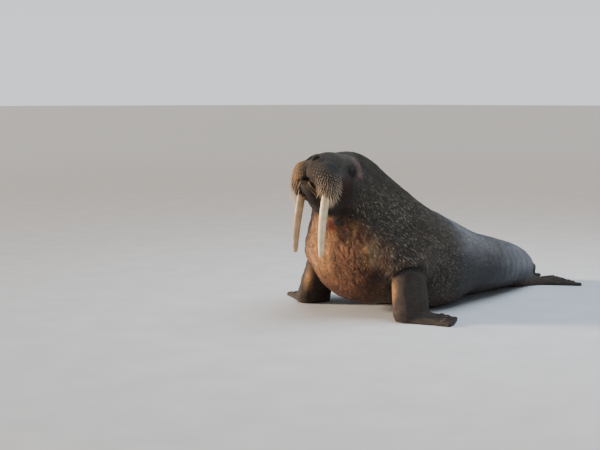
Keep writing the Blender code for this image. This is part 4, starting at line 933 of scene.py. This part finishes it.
skinPoints = thinOut(hideObject, hide["keptFaces"]) - rowShift
skinWhere = regions(skinPoints)
skinNet, skinBands = hideRelief(skinPoints, skinWhere)[1:]
paint(hideObject, "hideColour", hideColour(skinPoints, skinWhere, skinNet, skinBands))
paint(hideObject, "hideMarks", np.column_stack((skinWhere["chest"], skinWhere["neck"], skinWhere["face"])))
creaseAway = hideObject.data.attributes.new("creaseAway", "FLOAT", "POINT")
creaseAway.data.foreach_set("value", skinWhere["crease"].astype(np.float32))
fleshNodes = [
    "head", "muzzle", "lower_jaw", "neck", "chest", "torso", "rump", "tail", "forearm_left", "forearm_right",
    "fore_flipper_left", "fore_flipper_right", "hind_flipper_left", "hind_flipper_right",
]
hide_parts(*fleshNodes)
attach(hideObject, "root")
print("hide", sum(len(p.vertices) - 2 for p in hideObject.data.polygons), "triangles")

# Thin things grown from the hide


def frameAlong(centres):
    # centres (n, rings, 3): the direction along each row at each centre
    ahead = np.gradient(centres, axis=1)
    ahead /= np.maximum(np.linalg.norm(ahead, axis=2, keepdims=True), 1e-12)
    return ahead


def spikes(centres, widths, heights, up, sides):
    # a closed tapered spike along each row of centres (n, rings, 3); the last centre is the tip.
    # widths and heights (n, rings - 1) are half sizes across and along up (n, 3); points, and faces as arrays
    n, rings, _ = centres.shape
    ahead = frameAlong(centres)[:, :-1]
    across = np.cross(ahead, up[:, None, :])
    across /= np.maximum(np.linalg.norm(across, axis=2, keepdims=True), 1e-12)
    over = np.cross(across, ahead)
    turn = np.linspace(0, 2 * math.pi, sides, endpoint=False) + math.pi / 6
    c, s = np.cos(turn), np.sin(turn)
    ring = (
        centres[:, :-1, None, :]
        + widths[:, :, None, None] * c[None, None, :, None] * across[:, :, None, :]
        + heights[:, :, None, None] * s[None, None, :, None] * over[:, :, None, :]
    )
    each = (rings - 1) * sides + 1
    points = np.concatenate((ring.reshape(n, -1, 3), centres[:, -1:, :]), axis=1).reshape(-1, 3)
    j = np.arange(sides)
    k = (j + 1) % sides
    quads = np.concatenate([
        np.column_stack((i * sides + j, i * sides + k, (i + 1) * sides + k, (i + 1) * sides + j)) for i in range(rings - 2)
    ])
    last = (rings - 2) * sides
    tips = np.column_stack((last + j, last + k, np.full(sides, each - 1)))
    cap = j[::-1][None, :]
    start = (np.arange(n) * each)[:, None, None]
    return points, [(start + part[None]).reshape(-1, part.shape[1]) for part in (quads, tips, cap)]


# Short hair in small flat tufts

coat = {
    "tufts": 60000,
    "length": (0.016, 0.028),
    "halfWidth": (0.0010, 0.0022),
    "halfHeight": 0.0006,
    "lift": 0.08,           # share of the length that the tip stands up
    "pieces": 4,
    # the clumps' pale tips: partly the hair's straw colour, partly painted sheen of wet hair
    "clumps": 9000,        # wet clumps that catch the light
    "clumpLength": (0.018, 0.034),
    "clumpHalfWidth": (0.0018, 0.0034),
    "clumpHalfHeight": 0.0009,
    "paleHair": "c6ba9f",
}


def hairMaterial():
    # Short coarse hair: straw-grey at the tips, the hide's own colour at the roots, with a dull damp gloss
    material, tree, shader = newMaterial("short coarse hair")
    tone = addNode(tree, "Attribute", attribute_name="hairColour").outputs["Color"]
    place = addNode(tree, "TexCoord").outputs["Object"]
    streak = addNode(tree, "TexNoise", {"Vector": place, "Scale": 220.0, "Detail": 2.0})   # about 5 mm
    vary = addNode(tree, "MapRange", {"Value": streak.outputs["Fac"], "To Min": 0.75, "To Max": 1.25})
    base = addNode(tree, "VectorMath", {0: tone, 1: vary.outputs[0]}, operation="MULTIPLY")
    tree.links.new(base.outputs[0], shader.inputs["Base Color"])
    shader.inputs["Roughness"].default_value = 0.5
    return material


def bodyUnwrap(points):
    # the hide unrolled: along the spine one way and round the body the other, the limbs in strips of their own
    still = turned(points, -1)
    place = trunkPlace(still)
    around = np.arctan2(still[:, 1], place[:, 5]) / (2 * math.pi) + 0.5
    u, v = 0.02 + 0.74 * place[:, 7], 0.02 + 0.96 * around
    x, y, z = still.T
    side = np.where(y > 0, 0.0, 0.5)
    arm = (z < 0.32) & (np.abs(y) > 0.40) & (x > -0.30)
    turn = np.arctan2(np.abs(y) - 0.60, x - pose["wrist"][0]) / (2 * math.pi) + 0.5
    u = np.where(arm, 0.79 + 0.20 * np.clip(z / 0.34 + 0.3 * (np.abs(y) - 0.5), 0, 1), u)
    v = np.where(arm, side + 0.01 + 0.24 * turn, v)
    foot = (x < -2.16) & (np.abs(y) > 0.06)
    u = np.where(foot, 0.79 + 0.20 * np.clip((-2.16 - x) / 0.60, 0, 1), u)
    v = np.where(foot, side + 0.26 + 0.23 * np.clip(np.abs(y) / 0.60, 0, 1), v)
    return u, v


def addUnwrap(thing, roots, each, size=0.003):
    # every tuft is a patch about 0.003 across, at its root's place on the unrolled hide
    u, v = bodyUnwrap(roots)
    count = len(thing.data.vertices)
    which = np.arange(count) // each
    within = np.arange(count) % each
    du = (within % 3) / 2 - 0.5
    dv = (within // 3) / max(1, (each - 1) // 3) - 0.5
    uvs = np.column_stack((u[which] + size * du, v[which] + size * dv))
    corners = np.empty(len(thing.data.loops), np.int32)
    thing.data.loops.foreach_get("vertex_index", corners)
    layer = thing.data.uv_layers.new(name="OFBake")
    layer.data.foreach_set("uv", uvs[corners].astype(np.float32).ravel())


def lieOf(points, normals):
    # which way the hair lies: backwards, and down the neck and limbs, within the surface
    slope = smoothStep(-0.9, -0.1, points[:, 0])
    way = np.column_stack((-np.ones(len(points)), np.zeros(len(points)), -0.10 - 1.15 * slope))
    limb = smoothStep(0.45, 0.30, points[:, 2]) * smoothStep(0.36, 0.45, np.abs(points[:, 1])) * (points[:, 0] > -0.35)
    down = np.column_stack((np.zeros(len(points)), 0.4 * np.sign(points[:, 1]), -np.ones(len(points))))
    way = way * (1 - limb[:, None]) + down * limb[:, None]
    return unit(way - (way * normals).sum(axis=1)[:, None] * normals)


def scatter(points, quads, normals, density, count, chance):
    # random places on the quads, as many to each as its area times the density of its corners
    a, b, c, d = (points[quads[:, i]] for i in range(4))
    area = 0.5 * np.linalg.norm(np.cross(c - a, d - b), axis=1)
    weight = area * density[quads].mean(axis=1)
    pick = chance.choice(len(quads), count, p=weight / weight.sum())
    s, t = chance.random((2, count, 1))
    mix = [(1 - s) * (1 - t), s * (1 - t), s * t, (1 - s) * t]
    at = sum(m * part[pick] for m, part in zip(mix, (a, b, c, d)))
    up = unit(sum(m * normals[quads[pick, i]] for i, m in enumerate(mix)))
    return at, up


def makeTufts(name, chance, count, density, lengths, halfWidths, halfHeight, paleShare, finish):
    # flat three-sided spikes with their roots on the hide, lying along it with the tips a little raised
    roots, up = scatter(hidePoints, hideQuads, hideNormals, density, count, chance)
    there = regions(roots)
    nothing = np.zeros(count)
    small = 1 - 0.5 * np.clip(there["face"] + there["arm"] + there["foot"], 0, 1)
    length = chance.uniform(*lengths, count) * small
    width = chance.uniform(*halfWidths, count) * small
    lie = lieOf(roots, up)
    side = np.cross(up, lie)
    lie = unit(lie + side * (0.45 * cloud(roots, 0.10, 31) + chance.normal(0, 0.16, count))[:, None])
    lift = coat["lift"] * chance.uniform(0.5, 1.6, count)
    steps, rise = np.array((-0.04, 0.45, 1.0)), np.array((-0.10, 0.75, 1.0))
    centres = (
        roots[:, None, :]
        + (length[:, None] * steps)[..., None] * lie[:, None, :]
        + (length[:, None] * lift[:, None] * rise)[..., None] * up[:, None, :]
    )
    centres[..., 2] = np.maximum(centres[..., 2], 0.004)
    widths = width[:, None] * np.array((0.9, 1.0))
    heights = halfHeight * np.ones((count, 2))
    tone = hideColour(roots, there, nothing, nothing)
    share = np.clip(paleShare(chance, there), 0.0, 0.95)[:, None]
    tipTone = tone * (1 - share) + rgb(coat["paleHair"]) * share
    points, faces = spikes(centres, widths, heights, up, 3)
    thing = meshObject(name, points + rowShift, faces, finish)
    rootTone = 0.8 * tone + 0.2 * tipTone
    midTone = 0.3 * tone + 0.7 * tipTone
    paint(thing, "hairColour", np.stack([rootTone] * 3 + [midTone] * 3 + [tipTone], axis=1).reshape(-1, 3))
    addUnwrap(thing, roots, 7)
    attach(thing, "root")
    print(name, sum(len(f) * (f.shape[1] - 2) for f in faces), "triangles")


def makeCoat():
    chance = np.random.default_rng(5)
    where = hideWhere
    bare = np.clip(
        2 * bump(where["head"], (0.19, 0.10, -0.06), (0.20, 0.22, 0.20))
        + 3 * bump(where["head"], (-0.054, 0.160, 0.062), (0.070, 0.10, 0.070))
        + 3 * bump(where["body"], (-0.02, 0.60, 0.33), (0.30, 0.22, 0.22))
        + 2 * bump(where["body"], (0.165, 0.430, 0.300), (0.12, 0.10, 0.15))
        + 0.9 * where["chest"] * smoothStep(0.06, -0.06, where["bodyLeft"]), 0, 1,
    )
    grows = (1 - bare) * (1 - 0.75 * where["arm"]) * (1 - 0.7 * where["foot"]) * (hidePoints[:, 2] > 0.03)
    short = (0.35 + 1.2 * where["neck"] + 0.3 * where["face"]) * grows * (1 - 0.55 * where["chest"])
    sparse = (0.10 + 1.2 * where["neck"]) * grows * (1 - 0.6 * where["chest"]) * (1 - where["face"])
    finish = hairMaterial()
    nape = lambda there: 1 - 0.75 * smoothStep(0.96, 1.16, there["body"][:, 2])     # duller towards the head
    dull = lambda chance, there: chance.uniform(0.0, 0.16, len(there["neck"])) * (0.4 + 0.6 * there["neck"])
    # pale tips for the clumps: partly the hair's straw colour, partly painted sheen
    bright = lambda chance, there: (
        0.95 * chance.random(len(there["neck"])) ** 1.4 * (0.35 + 0.65 * there["neck"]) * nape(there)
    )
    for piece in range(coat["pieces"]):
        makeTufts(f"hair_{piece + 1}", chance, coat["tufts"] // coat["pieces"], short,
                  coat["length"], coat["halfWidth"], coat["halfHeight"], dull, finish)
    makeTufts(f"hair_{coat['pieces'] + 1}", chance, coat["clumps"], sparse,
              coat["clumpLength"], coat["clumpHalfWidth"], coat["clumpHalfHeight"], bright, finish)


makeCoat()

# Whiskers

whisker = {
    "origin": (0.130, 0.100, -0.080),   # the middle of the left pad, in the head's frame
    "rows": 12,
    "rise": (34, -62),                  # degrees above straight ahead, from the top row to the bottom row
    "round": ((-26, 5), 112),           # degrees from straight ahead, from the inner (top, bottom row) to the outer
    "inRow": 16,
    "lengths": (0.006, 0.080),          # in the top row and in the bottom row
    "radius": 0.0014,
    "sunk": 0.006,
}


def whiskerMaterial():
    # Whisker horn: stiff translucent keratin, amber at the root and cream towards the tip, with a soft gloss
    material, tree, shader = newMaterial("whisker horn")
    tone = addNode(tree, "Attribute", attribute_name="whiskerTone").outputs["Color"]
    place = addNode(tree, "TexCoord").outputs["Object"]
    streak = addNode(tree, "TexNoise", {"Vector": place, "Scale": 90.0, "Detail": 2.0})    # about 11 mm
    vary = addNode(tree, "MapRange", {"Value": streak.outputs["Fac"], "To Min": 0.8, "To Max": 1.2})
    base = addNode(tree, "VectorMath", {0: tone, 1: vary.outputs[0]}, operation="MULTIPLY")
    tree.links.new(base.outputs[0], shader.inputs["Base Color"])
    shader.inputs["Roughness"].default_value = 0.38
    shader.inputs["Subsurface Weight"].default_value = 0.15
    shader.inputs["Subsurface Radius"].default_value = (0.004, 0.002, 0.001)
    return material


def makeWhiskers():
    # rows over each pad, seen from a point inside it; each root is where that line leaves the hide
    chance = np.random.default_rng(9)
    rows, inRow = whisker["rows"], whisker["inRow"]
    row, place = np.meshgrid(np.arange(rows), np.arange(inRow), indexing="ij")
    row, place = row.ravel(), place.ravel()
    allRoots, allUp, allLength, allSide = [], [], [], []
    for side in (1.0, -1.0):
        share = row / (rows - 1)
        along = (place + 0.5 * (row % 2) + chance.uniform(-0.22, 0.22, len(row))) / (inRow - 0.5)
        rise = np.radians(whisker["rise"][0] + share * (whisker["rise"][1] - whisker["rise"][0]) + chance.uniform(-1.6, 1.6, len(row)))
        inner = whisker["round"][0][0] + share * (whisker["round"][0][1] - whisker["round"][0][0])
        turn = np.radians(inner + along * (whisker["round"][1] - inner))
        aim = np.column_stack((np.cos(rise) * np.cos(turn), side * np.cos(rise) * np.sin(turn), np.sin(rise)))
        origin = np.array(whisker["origin"]) * (1, side, 1)
        near, far = np.full(len(aim), 0.0), np.full(len(aim), 0.34)
        inside = lambda t: walrusField(headToWorld(origin + t[:, None] * aim)) + hide["inset"] < 0
        for t in np.linspace(0.34, 0.04, 31):   # the outermost crossing
            hit = inside(np.full(len(aim), t)) & (near == 0.0)
            near[hit], far[hit] = t, t + 0.0101
        for _ in range(14):
            middle = (near + far) / 2
            hit = inside(middle)
            near, far = np.where(hit, middle, near), np.where(hit, far, middle)
        at = origin + near[:, None] * aim
        keep = (at[:, 0] > 0.070) & (near > 0.03) & (near < 0.30)
        world = headToWorld(at)
        up = unit(slopeOf(walrusField, world))
        length = whisker["lengths"][0] + share ** 1.6 * (whisker["lengths"][1] - whisker["lengths"][0])
        length = length * (0.62 + 0.38 * np.sin(math.pi * np.clip(0.15 + 0.75 * along, 0, 1))) * chance.uniform(0.75, 1.15, len(row))
        # none on the jaw, and none into the tusks
        tuskAway = np.hypot((at[:, 0] - 0.150) / 0.050, (np.abs(at[:, 1]) - 0.122) / 0.042)
        keep &= ~((tuskAway < 1.0) & (at[:, 2] < -0.13))
        jaw, held = np.full(len(at), 1.0), worldToHead(world)
        held[:, 1] = np.abs(held[:, 1])
        for form in jawForms.values():
            addForm(jaw, held, form)
        keep &= jaw > 0.006
        allRoots.append(world[keep])
        allUp.append(up[keep])
        allLength.append(length[keep])
        allSide.append(np.column_stack((share, along))[keep])
    roots, up, length = np.vstack(allRoots), np.vstack(allUp), np.concatenate(allLength)
    share = np.vstack(allSide)[:, :1]
    count = len(roots)
    steps = np.array((0.0, 0.12, 0.32, 0.55, 0.78, 1.0))
    hang = (0.40 + 0.75 * share) * np.array((0, 0, -1.0))
    way = unit(up + hang + 0.10 * chance.normal(0, 1, (count, 3)))
    drop = 0.26 * chance.uniform(0.6, 1.4, (count, 1)) * length[:, None]
    centres = (
        roots[:, None, :]
        + (length[:, None] * steps)[..., None] * way[:, None, :]
        + (drop * steps ** 2)[..., None] * np.array((0, 0, -1.0))
    )
    sunk = (roots - whisker["sunk"] * up)[:, None, :]
    centres = np.concatenate((sunk, centres), axis=1)
    thick = whisker["radius"] * chance.uniform(0.8, 1.2, (count, 1)) * np.array((1.1, 1.1, 1.0, 0.92, 0.78, 0.55))
    thick = thick * (0.75 + 0.35 * share)
    points, faces = spikes(centres, thick, thick, np.tile((0.3, 0.2, 0.9), (count, 1)), 4)
    thing = meshObject("whiskers", points + rowShift, faces, whiskerMaterial())
    tones = np.linspace(0, 1, 7)[None, :, None]
    light = chance.uniform(0.8, 1.15, (count, 1, 1))
    tone = (rgb("86603e") * (1 - tones) + rgb("ecd8bc") * tones) * light
    colours = np.concatenate([np.repeat(tone[:, i:i + 1], 4, axis=1) for i in range(6)] + [tone[:, 6:]], axis=1)
    paint(thing, "whiskerTone", np.clip(colours.reshape(-1, 3), 0, 1))
    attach(thing, "root")
    print("whiskers", count)


makeWhiskers()

# Tusks

tusk = {
    "root": (0.150, 0.122, -0.120),
    "back": (math.radians(6.0), math.radians(25.0)),    # its lean at the root and at the tip
    "left": {"length": 0.576, "splay": -0.035},
    "right": {"length": 0.560, "splay": 0.072},
    "halfWidth": 0.031, "halfDepth": 0.039,
    "taper": ((0.0, 0.45, 0.75, 0.92, 0.98, 1.0), (1.0, 0.94, 0.80, 0.64, 0.50, 0.24)),
    "rings": 72, "sides": 40,
}


def ivoryMaterial(name, warm):
    # Worn ivory: creamy dentine with long fine cracks, tea-brown stain by the gum and in the cracks, polished
    material, tree, shader = newMaterial(name)
    place = addNode(tree, "TexCoord").outputs["Object"]
    length = addNode(tree, "Attribute", attribute_name="tuskLength").outputs["Fac"]
    grain = addNode(tree, "Mapping", {"Vector": place, "Rotation": (0, -0.28, 0), "Scale": (150.0, 150.0, 5.0)})
    lines = addNode(tree, "TexNoise", {"Vector": grain.outputs[0], "Scale": 1.0, "Detail": 4.0, "Roughness": 0.65})
    cracks = addNode(tree, "MapRange", {"Value": lines.outputs["Fac"], "From Min": 0.60, "From Max": 0.72})
    cloudy = addNode(tree, "TexNoise", {"Vector": place, "Scale": 16.0, "Detail": 3.0})
    tone = addNode(tree, "ValToRGB", {"Fac": cloudy.outputs["Fac"]})
    rampStops(tone, [(0.30, linearColour(warm[0])), (0.72, linearColour(warm[1]))])
    stain = addNode(tree, "MapRange", {"Value": length, "From Min": 0.30, "From Max": 0.02, "To Min": 0.0, "To Max": 0.55})
    stained = addNode(tree, "Mix", {0: stain.outputs[0], 6: tone.outputs[0], 7: linearColour("a5814f")}, data_type="RGBA")
    crackShare = addNode(tree, "Math", {0: cracks.outputs[0], 1: 0.5}, operation="MULTIPLY")
    lined = addNode(tree, "Mix", {0: crackShare.outputs[0], 6: stained.outputs[2], 7: linearColour("8a6740")}, data_type="RGBA")
    tree.links.new(lined.outputs[2], shader.inputs["Base Color"])
    rough = addNode(tree, "MapRange", {"Value": lines.outputs["Fac"], "To Min": 0.28, "To Max": 0.48})
    tree.links.new(rough.outputs[0], shader.inputs["Roughness"])
    shader.inputs["Subsurface Weight"].default_value = 0.12
    shader.inputs["Subsurface Radius"].default_value = (0.012, 0.008, 0.005)
    dent = addNode(tree, "Bump", {"Strength": 0.35, "Distance": 0.0015, "Height": lines.outputs["Fac"]})
    tree.links.new(dent.outputs[0], shader.inputs["Normal"])
    return material


def tuskPath(sideName, shares):
    # the lean grows evenly from root to tip; the path is the sum of its steps
    side = 1.0 if sideName == "left" else -1.0
    angles = tusk["back"][0] + (tusk["back"][1] - tusk["back"][0]) * shares
    middle = 0.5 * (angles[1:] + angles[:-1])
    way = np.column_stack((-np.sin(middle), np.full(len(middle), side * tusk[sideName]["splay"]), -np.cos(middle)))
    steps = np.diff(shares)[:, None] * tusk[sideName]["length"] * way
    start = np.array(tusk["root"]) * (1, side, 1)
    return start + np.vstack((np.zeros((1, 3)), np.cumsum(steps, axis=0))), angles


def makeTusk(sideName, material):
    rings, sides = tusk["rings"], tusk["sides"]
    shares = 1 - (1 - np.linspace(0, 1, rings)) ** 1.25
    path, angles = tuskPath(sideName, shares)
    turn = np.linspace(0, 2 * math.pi, sides, endpoint=False)
    size = np.interp(shares, *tusk["taper"])
    tip = np.clip((1 - shares) * tusk[sideName]["length"] / 0.020, 0, 1)
    size = np.minimum(size, 0.62 * np.sqrt(np.maximum(1 - (1 - tip) ** 2, 0.0)) + 0.38 * tip + 0.0)
    size = np.where(tip >= 1, np.interp(shares, *tusk["taper"]), np.minimum(size, np.interp(shares, *tusk["taper"])))
    aft = np.column_stack((-np.cos(angles), np.zeros(rings), np.sin(angles)))
    flute = 1 + 0.018 * np.cos(3 * turn + 0.7) + 0.012 * np.cos(5 * turn + 2.0)     # shallow lengthwise furrows
    depth = (tusk["halfDepth"] * size)[:, None] * (np.cos(turn) * flute)
    width = (tusk["halfWidth"] * size)[:, None] * (np.sin(turn) * flute)
    points = path[:, None, :] + depth[..., None] * aft[:, None, :] + width[..., None] * np.array((0.0, 1.0, 0.0))
    points = headToWorld(points.reshape(-1, 3))
    ends = headToWorld(path[[0, -1]])
    i, j = np.meshgrid(np.arange(rings - 1), np.arange(sides), indexing="ij")
    k = (j + 1) % sides
    quads = np.stack((i * sides + j, (i + 1) * sides + j, (i + 1) * sides + k, i * sides + k), axis=-1).reshape(-1, 4)
    j = np.arange(sides)
    k = (j + 1) % sides
    base = rings * sides
    caps = np.vstack((
        np.column_stack((np.full(sides, base), j, k)),
        np.column_stack((np.full(sides, base + 1), (rings - 1) * sides + k, (rings - 1) * sides + j)),
    ))
    thing = meshObject(f"ivory_tusk_{sideName}", np.vstack((points, ends)) + rowShift, [quads, caps], material)
    attribute = thing.data.attributes.new("tuskLength", "FLOAT", "POINT")
    attribute.data.foreach_set("value", np.append(np.repeat(shares, sides), (0.0, 1.0)).astype(np.float32))
    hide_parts(f"tusk_{sideName}")
    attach(thing, "root")


makeTusk("left", ivoryMaterial("worn ivory", ("d3bd92", "efe2c6")))
# the far tusk's darker copy of the ivory: partly stain, partly painted shade
makeTusk("right", ivoryMaterial("stained ivory with painted shade", ("957a5a", "bda583")))
print("tusks")

# Eyes


def eyeMaterial():
    # Wet eyeball: almost black brown, a faint brown iris round a wide pupil, under a clear glossy film
    material, tree, shader = newMaterial("wet dark eye")
    share = addNode(tree, "Attribute", attribute_name="eyeAway").outputs["Fac"]
    tone = addNode(tree, "ValToRGB", {"Fac": share})
    rampStops(tone, [
        (0.0, linearColour("050404")), (0.26, linearColour("060504")), (0.34, linearColour("2b1a12")),
        (0.62, linearColour("1c110d")), (0.80, linearColour("5a3a30")),
    ])
    place = addNode(tree, "TexCoord").outputs["Object"]
    veins = addNode(tree, "TexNoise", {"Vector": place, "Scale": 260.0, "Detail": 3.0})
    vary = addNode(tree, "MapRange", {"Value": veins.outputs["Fac"], "To Min": 0.7, "To Max": 1.3})
    base = addNode(tree, "VectorMath", {0: tone.outputs[0], 1: vary.outputs[0]}, operation="MULTIPLY")
    tree.links.new(base.outputs[0], shader.inputs["Base Color"])
    shader.inputs["Roughness"].default_value = 0.14
    shader.inputs["IOR"].default_value = 1.38
    shader.inputs["Specular IOR Level"].default_value = 0.35
    shader.inputs["Coat Weight"].default_value = 0.25
    shader.inputs["Coat Roughness"].default_value = 0.06
    return material


def makeEye(sideName, material):
    # a sphere as a function of latitude and longitude round the eye's outward axis, with a slight corneal bulge
    side = 1.0 if sideName == "left" else -1.0
    rings, sides = 26, 40
    away = np.linspace(0, 1, rings + 1)[1:-1]
    turn = np.linspace(0, 2 * math.pi, sides, endpoint=False)
    angle = away * math.pi
    radius = eye["radius"] * (0.985 + 0.035 * np.exp(-(away / 0.16) ** 2))
    axis = unit(np.array([[0.25, side, 0.02]]))[0]
    up = unit(np.cross(np.cross(axis, (0, 0, 1.0)), axis)[None])[0]
    across = np.cross(axis, up)
    ring = np.cos(turn)[:, None] * up + np.sin(turn)[:, None] * across
    points = radius[:, None, None] * (np.cos(angle)[:, None, None] * axis + np.sin(angle)[:, None, None] * ring)
    ends = np.vstack((axis * eye["radius"] * 1.02, -axis * eye["radius"] * 0.985))
    points = np.vstack((points.reshape(-1, 3), ends)) + np.array(eye["at"]) * (1, side, 1)
    i, j = np.meshgrid(np.arange(rings - 2), np.arange(sides), indexing="ij")
    k = (j + 1) % sides
    quads = np.stack((i * sides + j, (i + 1) * sides + j, (i + 1) * sides + k, i * sides + k), axis=-1).reshape(-1, 4)
    j = np.arange(sides)
    k = (j + 1) % sides
    last, base = (rings - 2) * sides, (rings - 1) * sides
    caps = np.vstack((
        np.column_stack((np.full(sides, base), j, k)), np.column_stack((np.full(sides, base + 1), last + k, last + j)),
    ))
    thing = meshObject(f"eyeball_{sideName}", headToWorld(points) + rowShift, [quads, caps], material)
    attribute = thing.data.attributes.new("eyeAway", "FLOAT", "POINT")
    attribute.data.foreach_set("value", np.append(np.repeat(2 * away, sides), (0.0, 2.0)).astype(np.float32))
    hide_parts(f"eye_{sideName}")
    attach(thing, "root")


darkEye = eyeMaterial()
makeEye("left", darkEye)
makeEye("right", darkEye)
print("eyes")

# Claws

claw = {"back": 0.062, "fore": (0.036, 0.0085), "hind": ((0.020, 0.006), (0.044, 0.009), (0.048, 0.009), (0.044, 0.009), (0.020, 0.006))}


def clawMaterial():
    # Claw horn: dark brown keratin with lengthwise striae
    material, tree, shader = newMaterial("claw horn")
    place = addNode(tree, "TexCoord").outputs["Object"]
    streak = addNode(tree, "TexNoise", {"Vector": place, "Scale": 180.0, "Detail": 3.0})
    tone = addNode(tree, "ValToRGB", {"Fac": streak.outputs["Fac"]})
    rampStops(tone, [(0.3, linearColour("2a211b")), (0.7, linearColour("6b5a48"))])
    tree.links.new(tone.outputs[0], shader.inputs["Base Color"])
    shader.inputs["Roughness"].default_value = 0.4
    return material


def makeClaws():
    centres, radii = [], []
    groups = (
        ("wrist", "foreHeading", handDigits, [claw["fore"]] * 5, 0.04),
        ("ankle", "hindHeading", footDigits, claw["hind"], 0.03),
    )
    for joint, way, digits, sizes, start in groups:
        ahead, across = heading(pose[way]), heading(pose[way] - math.pi / 2)
        floor = np.array((pose[joint][0], pose[joint][1], 0.0))
        for (spread, sideways, reach), (length, radius) in zip(digits, sizes):
            along = heading(pose[way] - math.radians(spread))
            root = floor + sideways * across + start * ahead + (reach - claw["back"]) * along
            steps = np.linspace(-0.25, 1.0, 8)[:, None] * length
            path = root + steps * along
            centres.append(path)
            radii.append(radius)
    path = np.array(centres)
    heights = np.linspace(0.0, 0.20, 201)
    column = path[:, :, None, :] + heights[None, None, :, None] * np.array((0, 0, 1.0))
    inside = (walrusField(column.reshape(-1, 3)) + hide["inset"] < 0).reshape(column.shape[:3])
    top = np.where(inside, heights, 0).max(axis=2)
    radii = np.array(radii)[:, None]
    path[:, :, 2] = top + radii * np.array((-1.1, -0.6, -0.05, 0.25, 0.4, 0.45, 0.3, 0.1))
    path[:, :, 2] = np.maximum(path[:, :, 2], 0.85 * radii)
    both = np.concatenate((path, path * (1, -1, 1)))
    thick = np.concatenate((radii, radii)) * np.array((0.7, 0.95, 1.0, 0.95, 0.8, 0.62, 0.40))
    points, faces = spikes(both, thick, 0.8 * thick, np.tile((0, 0, 1.0), (len(both), 1)), 10)
    thing = meshObject("claws", points + rowShift, faces, clawMaterial())
    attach(thing, "root")
    print("claws", len(both))


makeClaws()

# Floor, light and camera


def floorMaterial():
    material, tree, shader = newMaterial("pale plaster floor")
    place = addNode(tree, "TexCoord").outputs["Object"]
    soft = addNode(tree, "TexNoise", {"Vector": place, "Scale": 3.0, "Detail": 3.0})
    tone = addNode(tree, "ValToRGB", {"Fac": soft.outputs["Fac"]})
    rampStops(tone, [(0.3, linearColour("cbd2da")), (0.7, linearColour("d4dbe3"))])
    away = addNode(tree, "VectorMath", {0: place}, operation="LENGTH").outputs["Value"]
    far = addNode(tree, "MapRange", {"Value": away, "From Min": 5.0, "From Max": 30.0})
    cooler = addNode(tree, "Mix", {0: far.outputs[0], 6: tone.outputs[0], 7: linearColour("dae7f7")}, data_type="RGBA")
    tree.links.new(cooler.outputs[2], shader.inputs["Base Color"])
    shader.inputs["Roughness"].default_value = 0.85
    return material


def areaLight(name, at, aim, size, power, colour):
    data = bpy.data.lights.new(name, "AREA")
    data.shape, data.size, data.energy, data.color = "DISK", size, power, colour
    thing = bpy.data.objects.new(name, data)
    bpy.context.scene.collection.objects.link(thing)
    back = np.array(at, float) - np.array(aim, float)
    thing.location = tuple(np.array(at) + rowShift)
    tilt = math.atan2(math.hypot(back[0], back[1]), back[2])
    thing.rotation_euler = (tilt, 0.0, math.atan2(back[0], -back[1]))


def makeStage():
    ring = 300.0
    points = np.array([(-ring, -ring, 0), (ring, -ring, 0), (ring, ring, 0), (-ring, ring, 0)], float) - (0, 0, 0.0015)
    floor = meshObject("floor", points, np.array([[0, 1, 2, 3]]), floorMaterial(), smooth=False)
    world = bpy.data.worlds.new("soft sky")
    world.use_nodes = True
    sky = world.node_tree
    height = addNode(sky, "SeparateXYZ", {0: addNode(sky, "TexCoord").outputs["Generated"]})
    glow = addNode(sky, "MapRange", {"Value": height.outputs["Z"], "From Min": 0.06, "From Max": 0.30,
                                     "To Min": 0.78, "To Max": 0.33})
    haze = addNode(sky, "MapRange", {"Value": height.outputs["Z"], "From Min": 0.09, "From Max": 0.16,
                                     "To Min": 0.75, "To Max": 0.0})     # a bright band over the horizon
    strength = addNode(sky, "Math", {0: glow.outputs[0], 1: haze.outputs[0]}, operation="ADD")
    sky.nodes["Background"].inputs[0].default_value = linearColour("d6dade")
    sky.links.new(strength.outputs[0], sky.nodes["Background"].inputs[1])
    bpy.context.scene.world = world
    data = bpy.data.lights.new("low warm sun", "SUN")
    data.energy, data.angle, data.color = 8.5, math.radians(12.0), (1.0, 0.75, 0.52)
    low = bpy.data.objects.new("low warm sun", data)
    bpy.context.scene.collection.objects.link(low)
    low.rotation_euler = (math.radians(90.0 - 13.0), 0.0, math.radians(90.0 - 47.0))
    areaLight("cool top", (-1.4, 1.2, 6.5), (-0.6, 0.0, 0.4), 6.0, 450, (0.84, 0.92, 1.0))


view = {"focus": 1100.0, "distance": 9.2, "height": 1.77, "azimuth": 45.0, "middle": (361, 100)}


def makeCamera():
    # the lens in pixels of the 600 wide picture; the origin's foot stands at the middle column, the horizon at its row
    data = bpy.data.cameras.new("camera")
    data.sensor_width = 36.0
    data.lens = view["focus"] * 36.0 / 600.0
    data.clip_end = 900.0
    thing = bpy.data.objects.new("camera", data)
    bpy.context.scene.collection.objects.link(thing)
    bpy.context.scene.camera = thing
    around = math.radians(view["azimuth"])
    at = np.array((view["distance"] * math.cos(around), view["distance"] * math.sin(around), view["height"]))
    thing.location = tuple(at + rowShift)
    turn = math.atan((view["middle"][0] - 300) / view["focus"])
    down = math.atan((225 - view["middle"][1]) / view["focus"])
    thing.rotation_euler = (math.pi / 2 - down, 0.0, around + math.pi / 2 + turn)


makeStage()
makeCamera()
print("stage, lights and camera")
